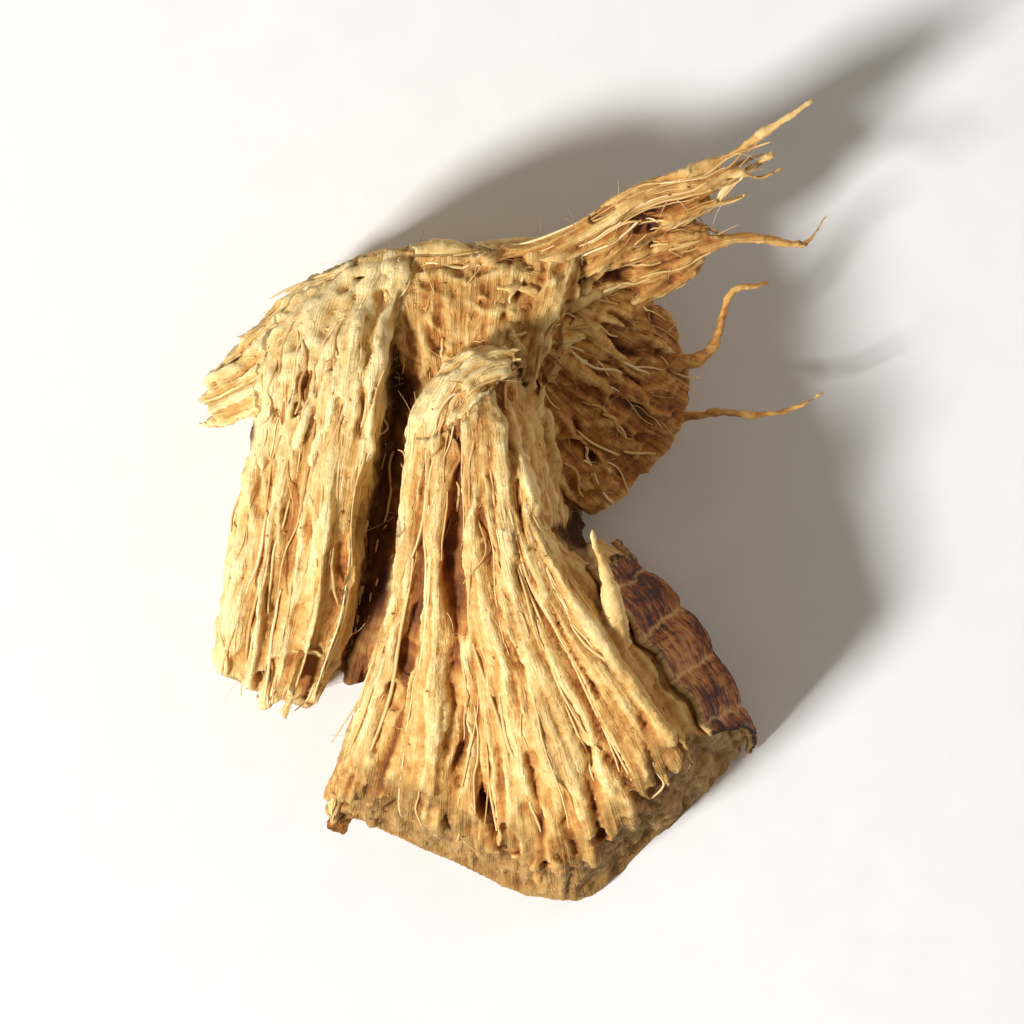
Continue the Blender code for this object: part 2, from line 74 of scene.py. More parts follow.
# Left and right rails run from the ridge outwards, and fibres fill the bundle between them.
# Each ridge is its place across, its lift at the far end and where it starts.
bundles = {
    "rightFan": {
        "left": [(-0.8, 2.4, 4.1), (-1.4, 1.1, 4.6), (-1.8, -1.3, 3.9), (-2.7, -4.4, 2.6), (-4.2, -8.3, 1.3)],
        "right": [(0.0, 2.75, 4.4), (0.35, 0.9, 5.2), (1.0, -1.1, 5.0), (3.0, -4.0, 3.9), (5.6, -8.3, 2.2)],
        "feet": ((0.2, 0.0), (0.75, 0.3)), "floor": -0.6, "crown": 0.4,
        "ridges": [
            (0.03, -0.05, 0.0), (0.14, -0.30, 0.3), (0.26, 0.16, 0.0), (0.49, 0.12, 0.0), (0.58, -0.04, 0.35),
            (0.67, 0.12, 0.1), (0.77, -0.06, 0.4), (0.87, 0.05, 0.15), (0.98, 0.22, 0.0),
        ],
        "sideRows": (5, 5), "ragged": 0.0, "coreEnd": 1.0, "inset": 0.09, "girth": 0.64,
        "grooves": [
            (0.33, 0.34, 0.10, 0.66, 0.15, 0.45), (0.09, 0.13, 0.25, 0.85, 0.11, 0.26),
            (0.37, 0.46, 0.72, 0.92, 0.12, 0.40), (0.16, 0.14, 0.80, 1.05, 0.26, 0.38),
            (0.60, 0.58, 0.30, 0.75, 0.09, 0.20), (0.78, 0.82, 0.45, 0.90, 0.10, 0.22),
        ],
        "slits": 80, "slitLength": 0.22, "bundleToneAndShade": -0.02,
        "fibres": 560, "fine": 1.0, "threads": 130, "seed": 11,
    },
    # the strands at the fan's apex, which bend over to the right
    # their tone shift pales them: partly their own tone, partly painted light
    "hook": {
        "left": [(-1.75, -0.3, 3.5), (-1.6, 1.45, 4.4), (-0.9, 2.6, 4.6), (0.32, 2.9, 4.5)],
        "right": [(-0.6, -0.3, 4.1), (-0.6, 1.2, 4.85), (-0.3, 2.1, 4.85), (0.36, 2.55, 4.45)],
        "floor": 3.3, "crown": 0.2,
        "ridges": [(0.05, 0.0, 0.0), (0.35, 0.1, 0.0), (0.65, -0.05, 0.0), (0.95, 0.0, 0.0)],
        "sideRows": (1, 1), "ragged": 0.12, "taper": 0.45, "coreEnd": 0.86, "inset": 0.12, "girth": 0.62,
        "grooves": [(0.5, 0.5, 0.1, 0.8, 0.09, 0.22)], "slits": 8, "bundleToneAndShade": -0.19, "crumbly": 0.7,
        "fibres": 70, "fine": 0.8, "threads": 30, "seed": 107,
    },
    "leftFan": {
        "left": [(-3.3, 4.0, 3.0), (-4.0, 2.4, 3.4), (-4.5, 0.4, 3.1), (-4.9, -1.6, 2.6), (-5.1, -3.2, 2.1)],
        "right": [(-2.0, 4.4, 3.6), (-2.2, 2.5, 4.2), (-2.5, 0.3, 4.0), (-2.8, -1.9, 3.1), (-3.5, -4.0, 2.2)],
        "feet": ((-0.1, 0.1), (-0.25, 0.3)), "floor": -0.5, "crown": 0.15, "bow": (0.0, -0.15),
        "ridges": [
            (0.03, -0.05, 0.0), (0.28, 0.15, 0.0), (0.47, -0.25, 0.35), (0.72, 0.22, 0.0), (0.97, -0.1, 0.1),
        ],
        "sideRows": (4, 4), "ragged": 0.07, "coreEnd": 0.97, "inset": 0.09, "girth": 0.68,
        "grooves": [
            (0.44, 0.36, 0.30, 0.98, 0.18, 0.22), (0.17, 0.20, 0.40, 0.92, 0.12, 0.16),
            (0.98, 0.82, 0.45, 1.10, 0.36, 0.32), (0.70, 0.62, 0.55, 0.95, 0.09, 0.16),
        ],
        "slits": 26, "slitLength": 0.25, "bundleToneAndShade": -0.13, "coveredTo": 0.27,
        "fibres": 280, "fine": 0.85, "threads": 80, "seed": 23,
    },
    # the wood deep in the cleft between the fans; its tone shift darkens it as painted shade
    "web": {
        "left": [(-2.7, 2.6, 2.6), (-2.9, 0.6, 2.1), (-3.1, -1.4, 1.7), (-3.3, -3.0, 1.2)],
        "right": [(-1.0, 2.6, 2.6), (-1.4, 0.6, 2.3), (-1.8, -1.4, 2.0), (-2.4, -3.4, 1.5)],
        "floor": -0.5, "crown": 0.0,
        "ridges": [(0.3, 0.0, 0.0), (0.7, 0.1, 0.0)],
        "sideRows": (0, 0), "ragged": 0.1, "coreEnd": 0.95, "inset": 0.15, "girth": 0.8,
        "slits": 8, "bundleToneAndShade": 0.25,
        "fibres": 40, "fine": 0.8, "threads": 12, "seed": 83,
    },
    "shoulder": {
        "left": [(-1.9, 4.5, 3.5), (-3.3, 4.1, 3.3), (-4.3, 3.3, 2.9), (-5.1, 2.5, 2.2)],
        "right": [(-2.7, 2.6, 3.4), (-3.8, 2.2, 3.2), (-4.7, 1.7, 2.7), (-5.5, 1.5, 2.1)],
        "feet": ((0.0, -0.1), (0.2, 0.3)), "floor": 0.4, "crown": 0.2, "bow": (-0.25, 0.0),
        "ridges": [
            (0.03, 0.0, 0.0), (0.3, 0.12, 0.0), (0.55, -0.02, 0.2), (0.78, 0.15, 0.0), (0.98, -0.1, 0.0),
        ],
        "sideRows": (4, 3), "ragged": 0.16, "taper": 0.2, "coreEnd": 0.9, "inset": 0.12, "girth": 0.65,
        "grooves": [(0.64, 0.60, 0.60, 0.95, 0.12, 0.14)], "slits": 12, "bundleToneAndShade": -0.05,
        "fibres": 110, "fine": 0.8, "threads": 45, "seed": 31,
    },
    "ridge": {
        "left": [(-3.2, 4.15, 3.1), (-1.8, 4.6, 3.5), (-0.2, 4.6, 3.6), (1.7, 4.6, 3.3)],
        "right": [(-2.4, 1.0, 1.9), (-1.2, 1.2, 2.2), (0.2, 1.2, 2.4), (1.6, 1.6, 2.1)],
        "feet": ((0.1, -0.2), (0.0, 0.2)), "floor": -0.5, "crown": 0.25, "bow": (0.2, 0.0),
        "ridges": [(0.02, 0.0, 0.0), (0.22, 0.15, 0.0), (0.42, -0.1, 0.2), (0.6, 0.1, 0.0), (0.8, 0.0, 0.1)],
        "sideRows": (5, 0), "ragged": 0.1, "coreEnd": 0.95, "inset": 0.12, "girth": 0.5,
        "slits": 12, "slitLength": 0.25, "bundleToneAndShade": 0.06, "crumbly": 1.3,
        "fibres": 90, "fine": 0.7, "threads": 35, "seed": 43,
    },
    # the sheet of fibres that runs from the top edge down into the left fan
    # its tone shift pales it: partly its own pale tone, partly painted light where it faces the lamp
    "mantle": {
        "left": [(-3.3, 4.2, 3.15), (-4.05, 3.1, 3.48), (-4.35, 1.6, 3.5), (-4.55, -0.4, 2.5)],
        "right": [(-1.7, 4.6, 3.6), (-1.95, 3.6, 4.1), (-2.2, 2.2, 4.42), (-2.5, 0.0, 3.4)],
        "feet": ((0.1, 0.0), (0.1, 0.0)), "floor": 1.6, "crown": 0.15,
        "ridges": [
            (0.05, 0.0, 0.0), (0.27, 0.1, 0.05), (0.5, -0.15, 0.2), (0.72, 0.15, 0.0), (0.95, 0.0, 0.1),
        ],
        "sideRows": (1, 2), "ragged": 0.38, "taper": 0.85, "coreEnd": 1.0, "inset": 0.12, "girth": 0.55,
        "slits": 0, "slitLength": 0.25, "bundleToneAndShade": -0.24, "crumbly": 0.8,
        "fibres": 190, "fine": 0.65, "threads": 60, "seed": 97,
    },
    # the granular wood behind the apex of the right fan, duller partly in its own tone, partly by painted
    # shade
    "brow": {
        "left": [(-1.9, 4.55, 3.5), (-1.9, 3.7, 3.75), (-1.75, 2.9, 3.7), (-1.5, 2.0, 3.3)],
        "right": [(1.4, 4.75, 3.6), (1.2, 4.0, 3.75), (0.9, 3.2, 3.65), (0.6, 2.3, 3.3)],
        "floor": 1.5, "crown": 0.15,
        "ridges": [(0.1, 0.0, 0.0), (0.4, 0.0, 0.1), (0.65, 0.0, 0.0), (0.9, 0.0, 0.0)],
        "sideRows": (1, 1), "ragged": 0.1, "coreEnd": 1.0, "inset": -0.04, "girth": 0.22,
        "slits": 6, "slitLength": 0.2, "bundleToneAndShade": 0.08, "crumbly": 1.5,
        "fibres": 50, "fine": 0.5, "threads": 16, "seed": 101,
    },
    "upperTail": {
        "left": [(-1.0, 4.5, 3.4), (0.8, 4.85, 3.7), (2.4, 5.75, 4.1), (3.7, 6.1, 4.2), (4.9, 6.75, 4.3)],
        "right": [(-0.4, 3.7, 3.1), (1.2, 4.2, 3.2), (2.5, 4.9, 3.4), (3.5, 5.25, 3.5), (4.7, 5.7, 3.6)],
        "feet": ((0.1, -0.3), (-0.1, 0.2)), "floor": 2.6, "crown": 0.15,
        "ridges": [
            (0.02, 0.0, 0.0), (0.3, 0.12, 0.0), (0.55, -0.12, 0.0), (0.8, 0.1, 0.0), (0.99, -0.05, 0.0),
        ],
        "sideRows": (2, 2), "ragged": 0.22, "taper": 0.55, "coreEnd": 0.78, "inset": 0.10, "girth": 0.5,
        "grooves": [(0.55, 0.6, 0.35, 0.9, 0.10, 0.20)], "slits": 10, "bundleToneAndShade": 0.12, "crumbly": 0.8,
        "fibres": 120, "fine": 0.75, "threads": 70, "seed": 59,
    },
    "lowerTail": {
        "left": [(0.4, 4.1, 3.1), (1.8, 4.7, 3.2), (2.9, 5.1, 3.2), (4.1, 5.2, 3.1)],
        "right": [(0.9, 3.2, 2.8), (1.9, 3.6, 2.7), (2.9, 3.9, 2.6), (4.1, 4.7, 2.8)],
        "feet": ((0.0, -0.2), (-0.2, 0.2)), "floor": 1.7, "crown": 0.15, "bow": (0.1, 0.0),
        "ridges": [(0.04, 0.0, 0.0), (0.32, 0.1, 0.0), (0.62, -0.1, 0.1), (0.95, 0.05, 0.0)],
        "sideRows": (1, 2), "ragged": 0.18, "taper": 0.5, "coreEnd": 0.85, "inset": 0.10, "girth": 0.5,
        "slits": 8, "bundleToneAndShade": 0.13,
        "fibres": 80, "fine": 0.75, "threads": 40, "seed": 61,
    },
    # the flank turns from the lamp; its tone shift darkens and reddens it, partly own brown, partly painted
    # warm shade
    "flank": {
        "left": [(-0.2, 4.3, 3.3), (1.3, 4.2, 3.1), (2.5, 3.8, 2.5), (3.2, 3.4, 1.8)],
        "right": [(-0.2, 2.9, 3.2), (0.4, 1.7, 2.8), (1.0, 0.6, 2.1), (1.7, -0.2, 1.4)],
        "feet": ((-0.1, -0.3), (-0.1, 0.3)), "floor": -0.4, "crown": 0.2, "bow": (0.95, -0.1),
        "ridges": [
            (0.02, 0.0, 0.0), (0.18, 0.1, 0.0), (0.34, -0.12, 0.2), (0.5, 0.12, 0.0), (0.66, -0.05, 0.3),
            (0.82, 0.1, 0.0), (0.98, 0.0, 0.0),
        ],
        "sideRows": (3, 3), "ragged": 0.14, "taper": 0.2, "coreEnd": 0.99, "inset": 0.0, "girth": 0.28,
        "slits": 16, "slitLength": 0.25, "bundleToneAndShade": 0.17, "crumbly": 1.3,
        "fibres": 200, "fine": 0.6, "threads": 90, "seed": 67,
    },
}
# A groove is its place across at its start and end, the shares of the bundle's length where it
# starts and ends, its half width and its depth. Another bundle covers the wood up to coveredTo.
# A bundle's tone shift: its own tone, plus painted shade where it lies in shade and painted light where lit.
usualBundle = {
    "feet": ((0.0, 0.0), (0.0, 0.0)), "bow": (0.0, 0.0), "taper": 0.0, "grooves": [], "crumbly": 1.0,
    "slitLength": 0.3,
}
bundles = {name: usualBundle | bundle for name, bundle in bundles.items()}

# single fibres that stand clear, in the piece of wood they grow from
splinters = {
    "rightFanWood": [
        {"points": [(2.15, -2.5, 4.2), (1.95, -1.4, 4.9), (1.65, -0.4, 5.4)], "root": 0.30},
        {"points": [(4.15, -5.1, 3.45), (3.35, -3.75, 4.0), (2.45, -2.4, 4.5), (1.5, -0.9, 4.9)],
         "root": 0.24},
        {"points": [(-1.5, 1.5, 4.6), (-1.15, 2.3, 4.7), (-0.6, 2.75, 4.7), (0.35, 2.85, 4.7)], "root": 0.13},
        {"points": [(-0.9, 1.5, 5.0), (-0.7, 2.2, 4.95), (-0.2, 2.55, 4.85), (0.5, 2.65, 4.8)], "root": 0.12},
        {"points": [(-0.4, 1.3, 5.1), (-0.3, 2.0, 5.0), (0.0, 2.45, 4.85), (0.45, 2.9, 4.6)], "root": 0.12},
    ],
    "tailWood": [
        {"points": [(2.6, 5.6, 4.0), (4.1, 6.35, 4.2), (5.65, 7.32, 4.5)], "root": 0.20},
        {"points": [(2.6, 5.2, 3.8), (3.9, 5.8, 3.9), (4.95, 6.37, 4.0)], "root": 0.18},
        {"points": [(2.9, 5.3, 3.7), (4.0, 6.0, 4.1), (4.7, 5.95, 4.2), (5.1, 6.1, 4.2)], "root": 0.13},
        {"points": [(3.0, 4.7, 3.0), (4.4, 4.9, 3.0), (5.5, 4.8, 2.9), (5.95, 5.3, 3.1)], "root": 0.16},
    ],
    "flankWood": [
        {"points": [(3.0, 2.6, 2.0), (3.85, 2.9, 2.2), (4.2, 3.9, 2.5), (4.95, 4.1, 2.4)], "root": 0.16},
        {"points": [(2.7, 1.7, 1.5), (3.9, 1.72, 1.4), (5.15, 1.75, 1.4), (5.95, 2.1, 1.6)], "root": 0.15},
    ],
}
splinterTip = 0.045

# a point on each knife cut and the way the cut looks
knifeCuts = [
    ((-1.6, -6.4, 0.0), (-0.39, -0.87, 0.28)),
    ((2.9, -6.3, 0.0), (0.66, -0.70, 0.26)),
    ((0.9, -7.42, 0.0), (0.05, -0.96, 0.30)),
]


def clamped(value, low, high):
    return min(max(value, low), high)


def arch(share):
    return math.sin(math.pi * clamped(share, 0.0, 1.0))


def railPoint(rail, share):
    # smooth curve through the rail's points, share runs 0 to 1
    spans = len(rail) - 1
    place = clamped(share, 0.0, 1.0) * spans
    span = min(int(place), spans - 1)
    t = place - span
    p1, p2 = Vector(rail[span]), Vector(rail[span + 1])
    p0 = Vector(rail[span - 1]) if span > 0 else p1 * 2 - p2
    p3 = Vector(rail[span + 2]) if span + 2 <= spans else p2 * 2 - p1
    bend = (p0 * 2 - p1 * 5 + p2 * 4 - p3) * t**2
    return 0.5 * (p1 * 2 + (p2 - p0) * t + bend + (p1 * 3 - p0 - p2 * 3 + p3) * t**3)


def bundlePoint(bundle, across, down, share):
    left, right = railPoint(bundle["left"], share), railPoint(bundle["right"], share)
    left += Vector((*bundle["feet"][0], 0.0)) * down
    right += Vector((*bundle["feet"][1], 0.0)) * down
    point = left.lerp(right, across)
    point += Vector((*bundle["bow"], 0.0)) * arch(across) * share**2
    point.z += bundle["crown"] * arch(across) * math.sqrt(arch(share))
    point.z += (bundle["floor"] - point.z) * down
    return point


def coverPoint(bundle, around, share):
    # around runs 0 to 1 over the top, below 0 down the left side and above 1 down the right side
    return bundlePoint(bundle, clamped(around, 0, 1), clamped(max(-around, around - 1), 0, 1), share)


def bundleWidth(bundle, share):
    return (railPoint(bundle["left"], share) - railPoint(bundle["right"], share)).length


def nearestCut(point):
    # how far past the nearest knife cut the point lies, negative inside, and the way the cut looks
    cuts = [((point - Vector(place)).dot(Vector(facing).normalized()), Vector(facing).normalized())
            for place, facing in knifeCuts]
    return max(cuts, key=lambda cut: cut[0])


def pastCuts(point):
    return nearestCut(point)[0]


def ridgePath(bundle, across, down, lift, start, chance):
    # one thick fibre of (point, radius) from root to tip, lumpy and not quite straight
    end = 1 - chance.uniform(0, bundle["ragged"])
    wander = chance.uniform(-0.03, 0.03)
    wave = chance.uniform(0, 2 * math.pi)
    girth = chance.uniform(0.85, 1.2) * bundle["girth"]
    path = []
    for step in range(chipForm["stepsAlong"] + 1):
        share = start + (end - start) * step / chipForm["stepsAlong"]
        point = bundlePoint(bundle, across + wander * math.sin(wave + share * 7), down, share)
        point.z += lift * math.sqrt(share)
        point += 0.11 * noise.noise_vector(Vector((share * 6, wave, 3.0)))
        spacing = bundleWidth(bundle, share) / len(bundle["ridges"])
        radius = chipForm["fibreToSpacing"] * spacing
        radius = clamped(radius, chipForm["thinnestFibre"], chipForm["thickestFibre"])
        radius *= 1 + 0.22 * noise.noise(Vector((share * 6, wave, 8.0)))
        path.append((point, radius * girth * (1 - bundle["taper"] * share)))
    return path


def ridgePaths(bundle):
    # the same draws in the same order as the CAD solid makes
    chance = random.Random(bundle["seed"])
    paths = [ridgePath(bundle, across, 0.0, lift, start, chance) for across, lift, start in bundle["ridges"]]
    for across, rows in zip((0.0, 1.0), bundle["sideRows"]):
        for row in range(rows):
            down = (row + chance.uniform(0.75, 1.0)) / rows
            paths.append(ridgePath(bundle, across, down, 0.0, chance.uniform(0.0, 0.2), chance))
    return paths


def sunkStart(path):
    # a thick fibre that comes up thin from under its cover
    steps = chipForm["risingSteps"]
    risen = [clamped(index / steps, 0, 1) for index in range(len(path))]
    return [(point - Vector((0, 0, 0.16 * (1 - share))), radius * (0.3 + 0.7 * share))
            for (point, radius), share in zip(path, risen)]


def splinterPath(splinter):
    steps = chipForm["stepsAlong"]
    path = []
    for step in range(steps + 1):
        share = step / steps
        point = railPoint(splinter["points"], share)
        point += 0.05 * noise.noise_vector(Vector((share * 5, 2.0, 7.0)))
        path.append((point, splinter["root"] + (splinterTip - splinter["root"]) * share**0.7))
    return path


fibreForm = {
    "thin": 0.06, "thick": 0.145,        # radius
    "short": 0.10, "long": 0.38,         # share of the bundle's length
    "steps": 15,
    "sunk": 0.1, "proud": 0.75,          # where the middle lies over the wood, in radii
    "overCut": 0.24, "shortOfCut": 0.10,  # how unevenly the knife broke them off
}


def underSkin(bundle, around, share):
    # the side of the right fan where bark covers the fibres
    return bundle is bundles["rightFan"] and around > 1.1 and share > 0.44


def evened(places, rounds):
    # the same points with their zigzags taken out
    for _ in range(rounds):
        befores, afters = places[:1] + places[:-1], places[1:] + places[-1:]
        places = [(before + place * 2 + after) / 4 for before, place, after in zip(befores, places, afters)]
    return places


def fineFibre(bundle, coarse, chance):
    # a spindle that lies along the grain on the coarse wood
    sides = bundle["sideRows"]
    around = chance.uniform(-0.9 if sides[0] else 0.0, 1.9 if sides[1] else 1.0)
    reach = chance.uniform(fibreForm["short"], fibreForm["long"])
    start = chance.uniform(-0.02, 1.0 - reach * 0.6)
    start = max(start, bundle.get("coveredTo", -0.02) * chance.uniform(0.6, 1.4))
    last = 1.0 - bundle["ragged"] * chance.random()
    drift, wave = chance.uniform(0.02, 0.08), chance.uniform(0, 6.28)
    radius = chance.uniform(fibreForm["thin"], fibreForm["thick"]) * bundle["fine"]
    embed = chance.uniform(fibreForm["sunk"], fibreForm["proud"]) * radius
    places = []
    for step in range(fibreForm["steps"] + 1):
        share = start + reach * step / fibreForm["steps"]
        if share > last or underSkin(bundle, around, share):
            break
        place = coverPoint(bundle, around + drift * math.sin(wave + share * 15), share)
        found, normal = coarse.find_nearest(place)[:2]
        places.append(found + normal * embed)
    fibre = []
    for index, middle in enumerate(evened(places, 2)):
        belly = 0.2 + 0.8 * math.sqrt(arch((index + 0.5) / len(places)))
        fibre.append((middle, radius * belly * (1 + 0.3 * noise.noise(middle * 2))))
    return fibre


tornForm = {
    "fibres": 190,
    "thin": 0.04, "thick": 0.09,         # radius
    "short": 0.4, "long": 3.4,
    "steps": 14,
    "aside": 0.14,
    "lowest": 0.2,
}


def tornFibre(bundle, coarse, chance):
    # comes over the fan's edge and hangs down the knife cut
    around = chance.uniform(0.0, 1.0)
    share = 0.5
    while share < 1.0 and pastCuts(coverPoint(bundle, around, share)) < -0.15:
        share += 0.01
    edge = coverPoint(bundle, around, share)
    normal = nearestCut(edge)[1]
    downwards = (normal * normal.z - Vector((0, 0, 1))).normalized()
    run = downwards + normal.cross(downwards) * chance.uniform(-tornForm["aside"], tornForm["aside"])
    run *= tornForm["short"] + (tornForm["long"] - tornForm["short"]) * chance.random()**1.6
    radius = chance.uniform(tornForm["thin"], tornForm["thick"])
    places = [coverPoint(bundle, around, share - 0.05), coverPoint(bundle, around, share - 0.02)]
    places += [edge + run * step / tornForm["steps"] for step in range(tornForm["steps"] + 1)]
    fibre = []
    for index, place in enumerate(places):
        found, outwards = coarse.find_nearest(place)[:2]
        if found.z > tornForm["lowest"]:
            thickness = radius * (1 - 0.65 * index / len(places)) * (1 + 0.3 * noise.noise(found * 3))
            fibre.append((found + outwards * radius * 0.5, thickness))
    middles = evened([point for point, _ in fibre], 1) if fibre else []
    return [(middle, thickness) for middle, (_, thickness) in zip(middles, fibre)]


def trimmed(path, chance):
    # broken off where it passes a knife cut, a little over or short of it
    slack = chance.uniform(-fibreForm["shortOfCut"], fibreForm["overCut"])
    kept = []
    for point, radius in path:
        if pastCuts(point) > slack:
            break
        kept.append((point, radius))
    return kept


def evaluatedMesh(name, data, addModifier=None):
    # the finished mesh of a passing object, with its modifier applied
    holder = bpy.data.objects.new(name, data)
    bpy.context.collection.objects.link(holder)
    if addModifier:
        addModifier(holder)
    bpy.context.view_layer.update()
    mesh = bpy.data.meshes.new_from_object(holder.evaluated_get(bpy.context.evaluated_depsgraph_get()))
    holder.modifiers.clear()
    bpy.data.objects.remove(holder)
    mesh.name = name
    return mesh


def tubeMesh(name, paths, roundness):
    # round tubes along paths of (point, radius), as one mesh
    curve = bpy.data.curves.new(name, "CURVE")
    curve.dimensions = "3D"
    curve.bevel_depth = 1.0
    curve.bevel_resolution = roundness
    curve.use_fill_caps = True
    for path in paths:
        spline = curve.splines.new("POLY")
        spline.points.add(len(path) - 1)
        for knot, (point, radius) in zip(spline.points, path):
            knot.co = (*point, 1.0)
            knot.radius = radius
    return evaluatedMesh(name, curve)


def loftInto(solid, rings):
    # closed solid through rings of points, each end closed by a fan round its middle
    rows = [[solid.verts.new(point) for point in ring] for ring in rings]
    made = []
    for ring, following in zip(rows, rows[1:]):
        for index in range(len(ring)):
            beside = (index + 1) % len(ring)
            made.append(solid.faces.new((ring[index], ring[beside], following[beside], following[index])))
    for ring in (rows[0], rows[-1]):
        middle = solid.verts.new(sum((corner.co for corner in ring), Vector()) / len(ring))
        for index in range(len(ring)):
            made.append(solid.faces.new((ring[index], ring[(index + 1) % len(ring)], middle)))
    bmesh.ops.recalc_face_normals(solid, faces=made)


def coreRings(bundle):
    rings = []
    across, down, along = 12, 6, 28
    for step in range(along + 1):
        share = bundle["coreEnd"] * step / along
        places = [(n / across, 0.0) for n in range(across)] + [(1.0, n / down) for n in range(down)]
        places += [(1 - n / across, 1.0) for n in range(across)] + [(0.0, 1 - n / down) for n in range(down)]
        ring = [bundlePoint(bundle, x, z, share) for x, z in places]
        middle = sum(ring, Vector()) / len(ring)
        rings.append([point + (middle - point).normalized() * bundle["inset"] for point in ring])
    return rings


skinForm = {
    "top": [(1.15, -0.9, 4.7), (2.35, -2.5, 4.15), (3.45, -4.0, 3.55), (4.35, -5.6, 3.0)],
    "foot": [(1.75, -0.6, 0.2), (3.2, -1.9, 0.15), (4.25, -3.7, 0.15), (4.7, -5.5, 0.2)],
    "bulge": 0.30,
    "backing": 1.6,        # wood behind it
    "thickness": 0.11,
    "rings": 6,
    "ringHeight": 0.10,
    "stepsAlong": 210,
    "stepsDown": 120,
    "standOff": 0.15,      # how far it stands off the wood
    "curl": 0.12,          # and how far more at its torn top edge
    "wrinkle": 0.06,
    "tear": 0.05,          # share of its length that its torn edges wander over
}


def skinPoint(along, down, off):
    # a point on the bark side of the right fan, off millimetres out from it
    top, foot = railPoint(skinForm["top"], along), railPoint(skinForm["foot"], along)
    outwards = Vector((foot.x - top.x, foot.y - top.y, 0.0)).normalized()
    ringed = skinForm["ringHeight"] * abs(math.sin(math.pi * skinForm["rings"] * along))
    return top.lerp(foot, down) + outwards * (skinForm["bulge"] * arch(down) + ringed + off)


def skinRings(alongSteps, downSteps):
    rings = []
    for step in range(alongSteps + 1):
        along = step / alongSteps
        outside = [skinPoint(along, row / downSteps, 0.0) for row in range(downSteps + 1)]
        inside = [skinPoint(along, row / downSteps, -skinForm["backing"]) for row in range(downSteps, -1, -1)]
        rings.append(outside + inside)
    return rings


def meshPoints(mesh):
    points = np.empty(len(mesh.vertices) * 3, np.float32)
    mesh.vertices.foreach_get("co", points)
    return points.reshape(-1, 3).astype(np.float64)


def setPoints(mesh, points):
    mesh.vertices.foreach_set("co", points.astype(np.float32).ravel())
    mesh.update()


def beyondCuts(points):
    return np.max([(points - np.array(place)) @ np.array(Vector(facing).normalized())
                   for place, facing in knifeCuts], axis=0)


def largestShell(mesh):
    # drops sealed hollows and loose crumbs
    shells = bmesh.new()
    shells.from_mesh(mesh)
    unseen = set(shells.verts)
    largest = set()
    while unseen:
        shell = {unseen.pop()}
        rim = list(shell)
        while rim:
            for edge in rim.pop().link_edges:
                for other in edge.verts:
                    if other in unseen:
                        unseen.remove(other)
                        shell.add(other)
                        rim.append(other)
        largest = max(largest, shell, key=len)
    loose = [corner for corner in shells.verts if corner not in largest]
    if loose:
        bmesh.ops.delete(shells, geom=loose, context="VERTS")
        shells.to_mesh(mesh)
    shells.free()


def fused(name, mesh, voxel):
    # one closed surface round everything in the mesh, no finer than one piece's faces allow
    def addRemesh(holder):
        fuse = holder.modifiers.new("fuse", "REMESH")
        fuse.mode = "VOXEL"
        fuse.voxel_size = voxel

    result = evaluatedMesh(name, mesh, addRemesh)
    if len(result.polygons) > chipForm["mostFaces"]:
        return fused(name, mesh, voxel * 1.01 * math.sqrt(len(result.polygons) / chipForm["mostFaces"]))
    largestShell(result)
    print(name, "fused at", round(voxel, 3), "mm:", len(result.polygons), "faces")
    return result


def bundledMesh(name, bundleNames, paths, withSkinSide):
    # cores pressed onto the knife cuts, with the fibres' tubes, all flat underneath
    solid = bmesh.new()
    for bundleName in bundleNames:
        loftInto(solid, coreRings(bundles[bundleName]))
    if withSkinSide:
        loftInto(solid, skinRings(36, 12))
    for corner in solid.verts:
        corner.co.z = max(corner.co.z, 0.0)
        uneven = 0.13 * (1 + noise.noise(corner.co * 1.1))
        for place, facing in knifeCuts:
            normal = Vector(facing).normalized()
            level = Vector((normal.x, normal.y, 0.0))
            past = (corner.co - Vector(place)).dot(normal) + uneven
            corner.co -= level * max(past, 0.0) / level.length_squared
    solid.from_mesh(tubeMesh(name + "Tubes", paths, 1))
    for corner in solid.verts:
        corner.co.z = max(corner.co.z, 0.0)
    rough = bpy.data.meshes.new(name + "Rough")
    solid.to_mesh(rough)
    solid.free()
    return rough


def surfaceTree(mesh):
    corners = [tuple(corner.co) for corner in mesh.vertices]
    return BVHTree.FromPolygons(corners, [tuple(face.vertices) for face in mesh.polygons])


def coarseWood():
    # the whole chip in rough, on which the fine fibres are laid
    paths = [path for bundle in bundles.values() for path in ridgePaths(bundle)]
    return surfaceTree(fused("coarse", bundledMesh("coarse", bundles, paths, True), 0.11))


homeStep = 17.0        # keeps the patterns of two bundles apart


def grainLength(bundle):
    middles = [bundlePoint(bundle, 0.5, 0.0, step / 20) for step in range(21)]
    return sum((after - before).length for before, after in zip(middles, middles[1:]))


def grainOf(points, bundleNames):
    # millimetres along and across the bundle, smooth over its whole surface, and the bundle's number
    samples = []
    for number, bundleName in enumerate(bundleNames):
        bundle = bundles[bundleName]
        width, length = bundleWidth(bundle, 0.5), grainLength(bundle)
        for step in range(101):
            share = step / 100
            for turn in range(-30, 61):
                around = turn / 30
                place = coverPoint(bundle, around, share)
                samples.append((place, share * length, around * width, number * homeStep))
    tree = KDTree(len(samples))
    for index, sample in enumerate(samples):
        tree.insert(sample[0], index)
    tree.balance()
    grain = np.empty((len(points), 3))
    for row, place in enumerate(points):
        near = tree.find_n(place, 3)
        home = samples[near[0][1]][3]
        total, alongSum, acrossSum = 0.0, 0.0, 0.0
        for _, index, gap in near:
            _, along, across, number = samples[index]
            if number == home:
                weight = 1 / (gap + 0.02)
                total += weight
                alongSum += along * weight
                acrossSum += across * weight
        grain[row] = (alongSum / total, acrossSum / total, home)
    return grain


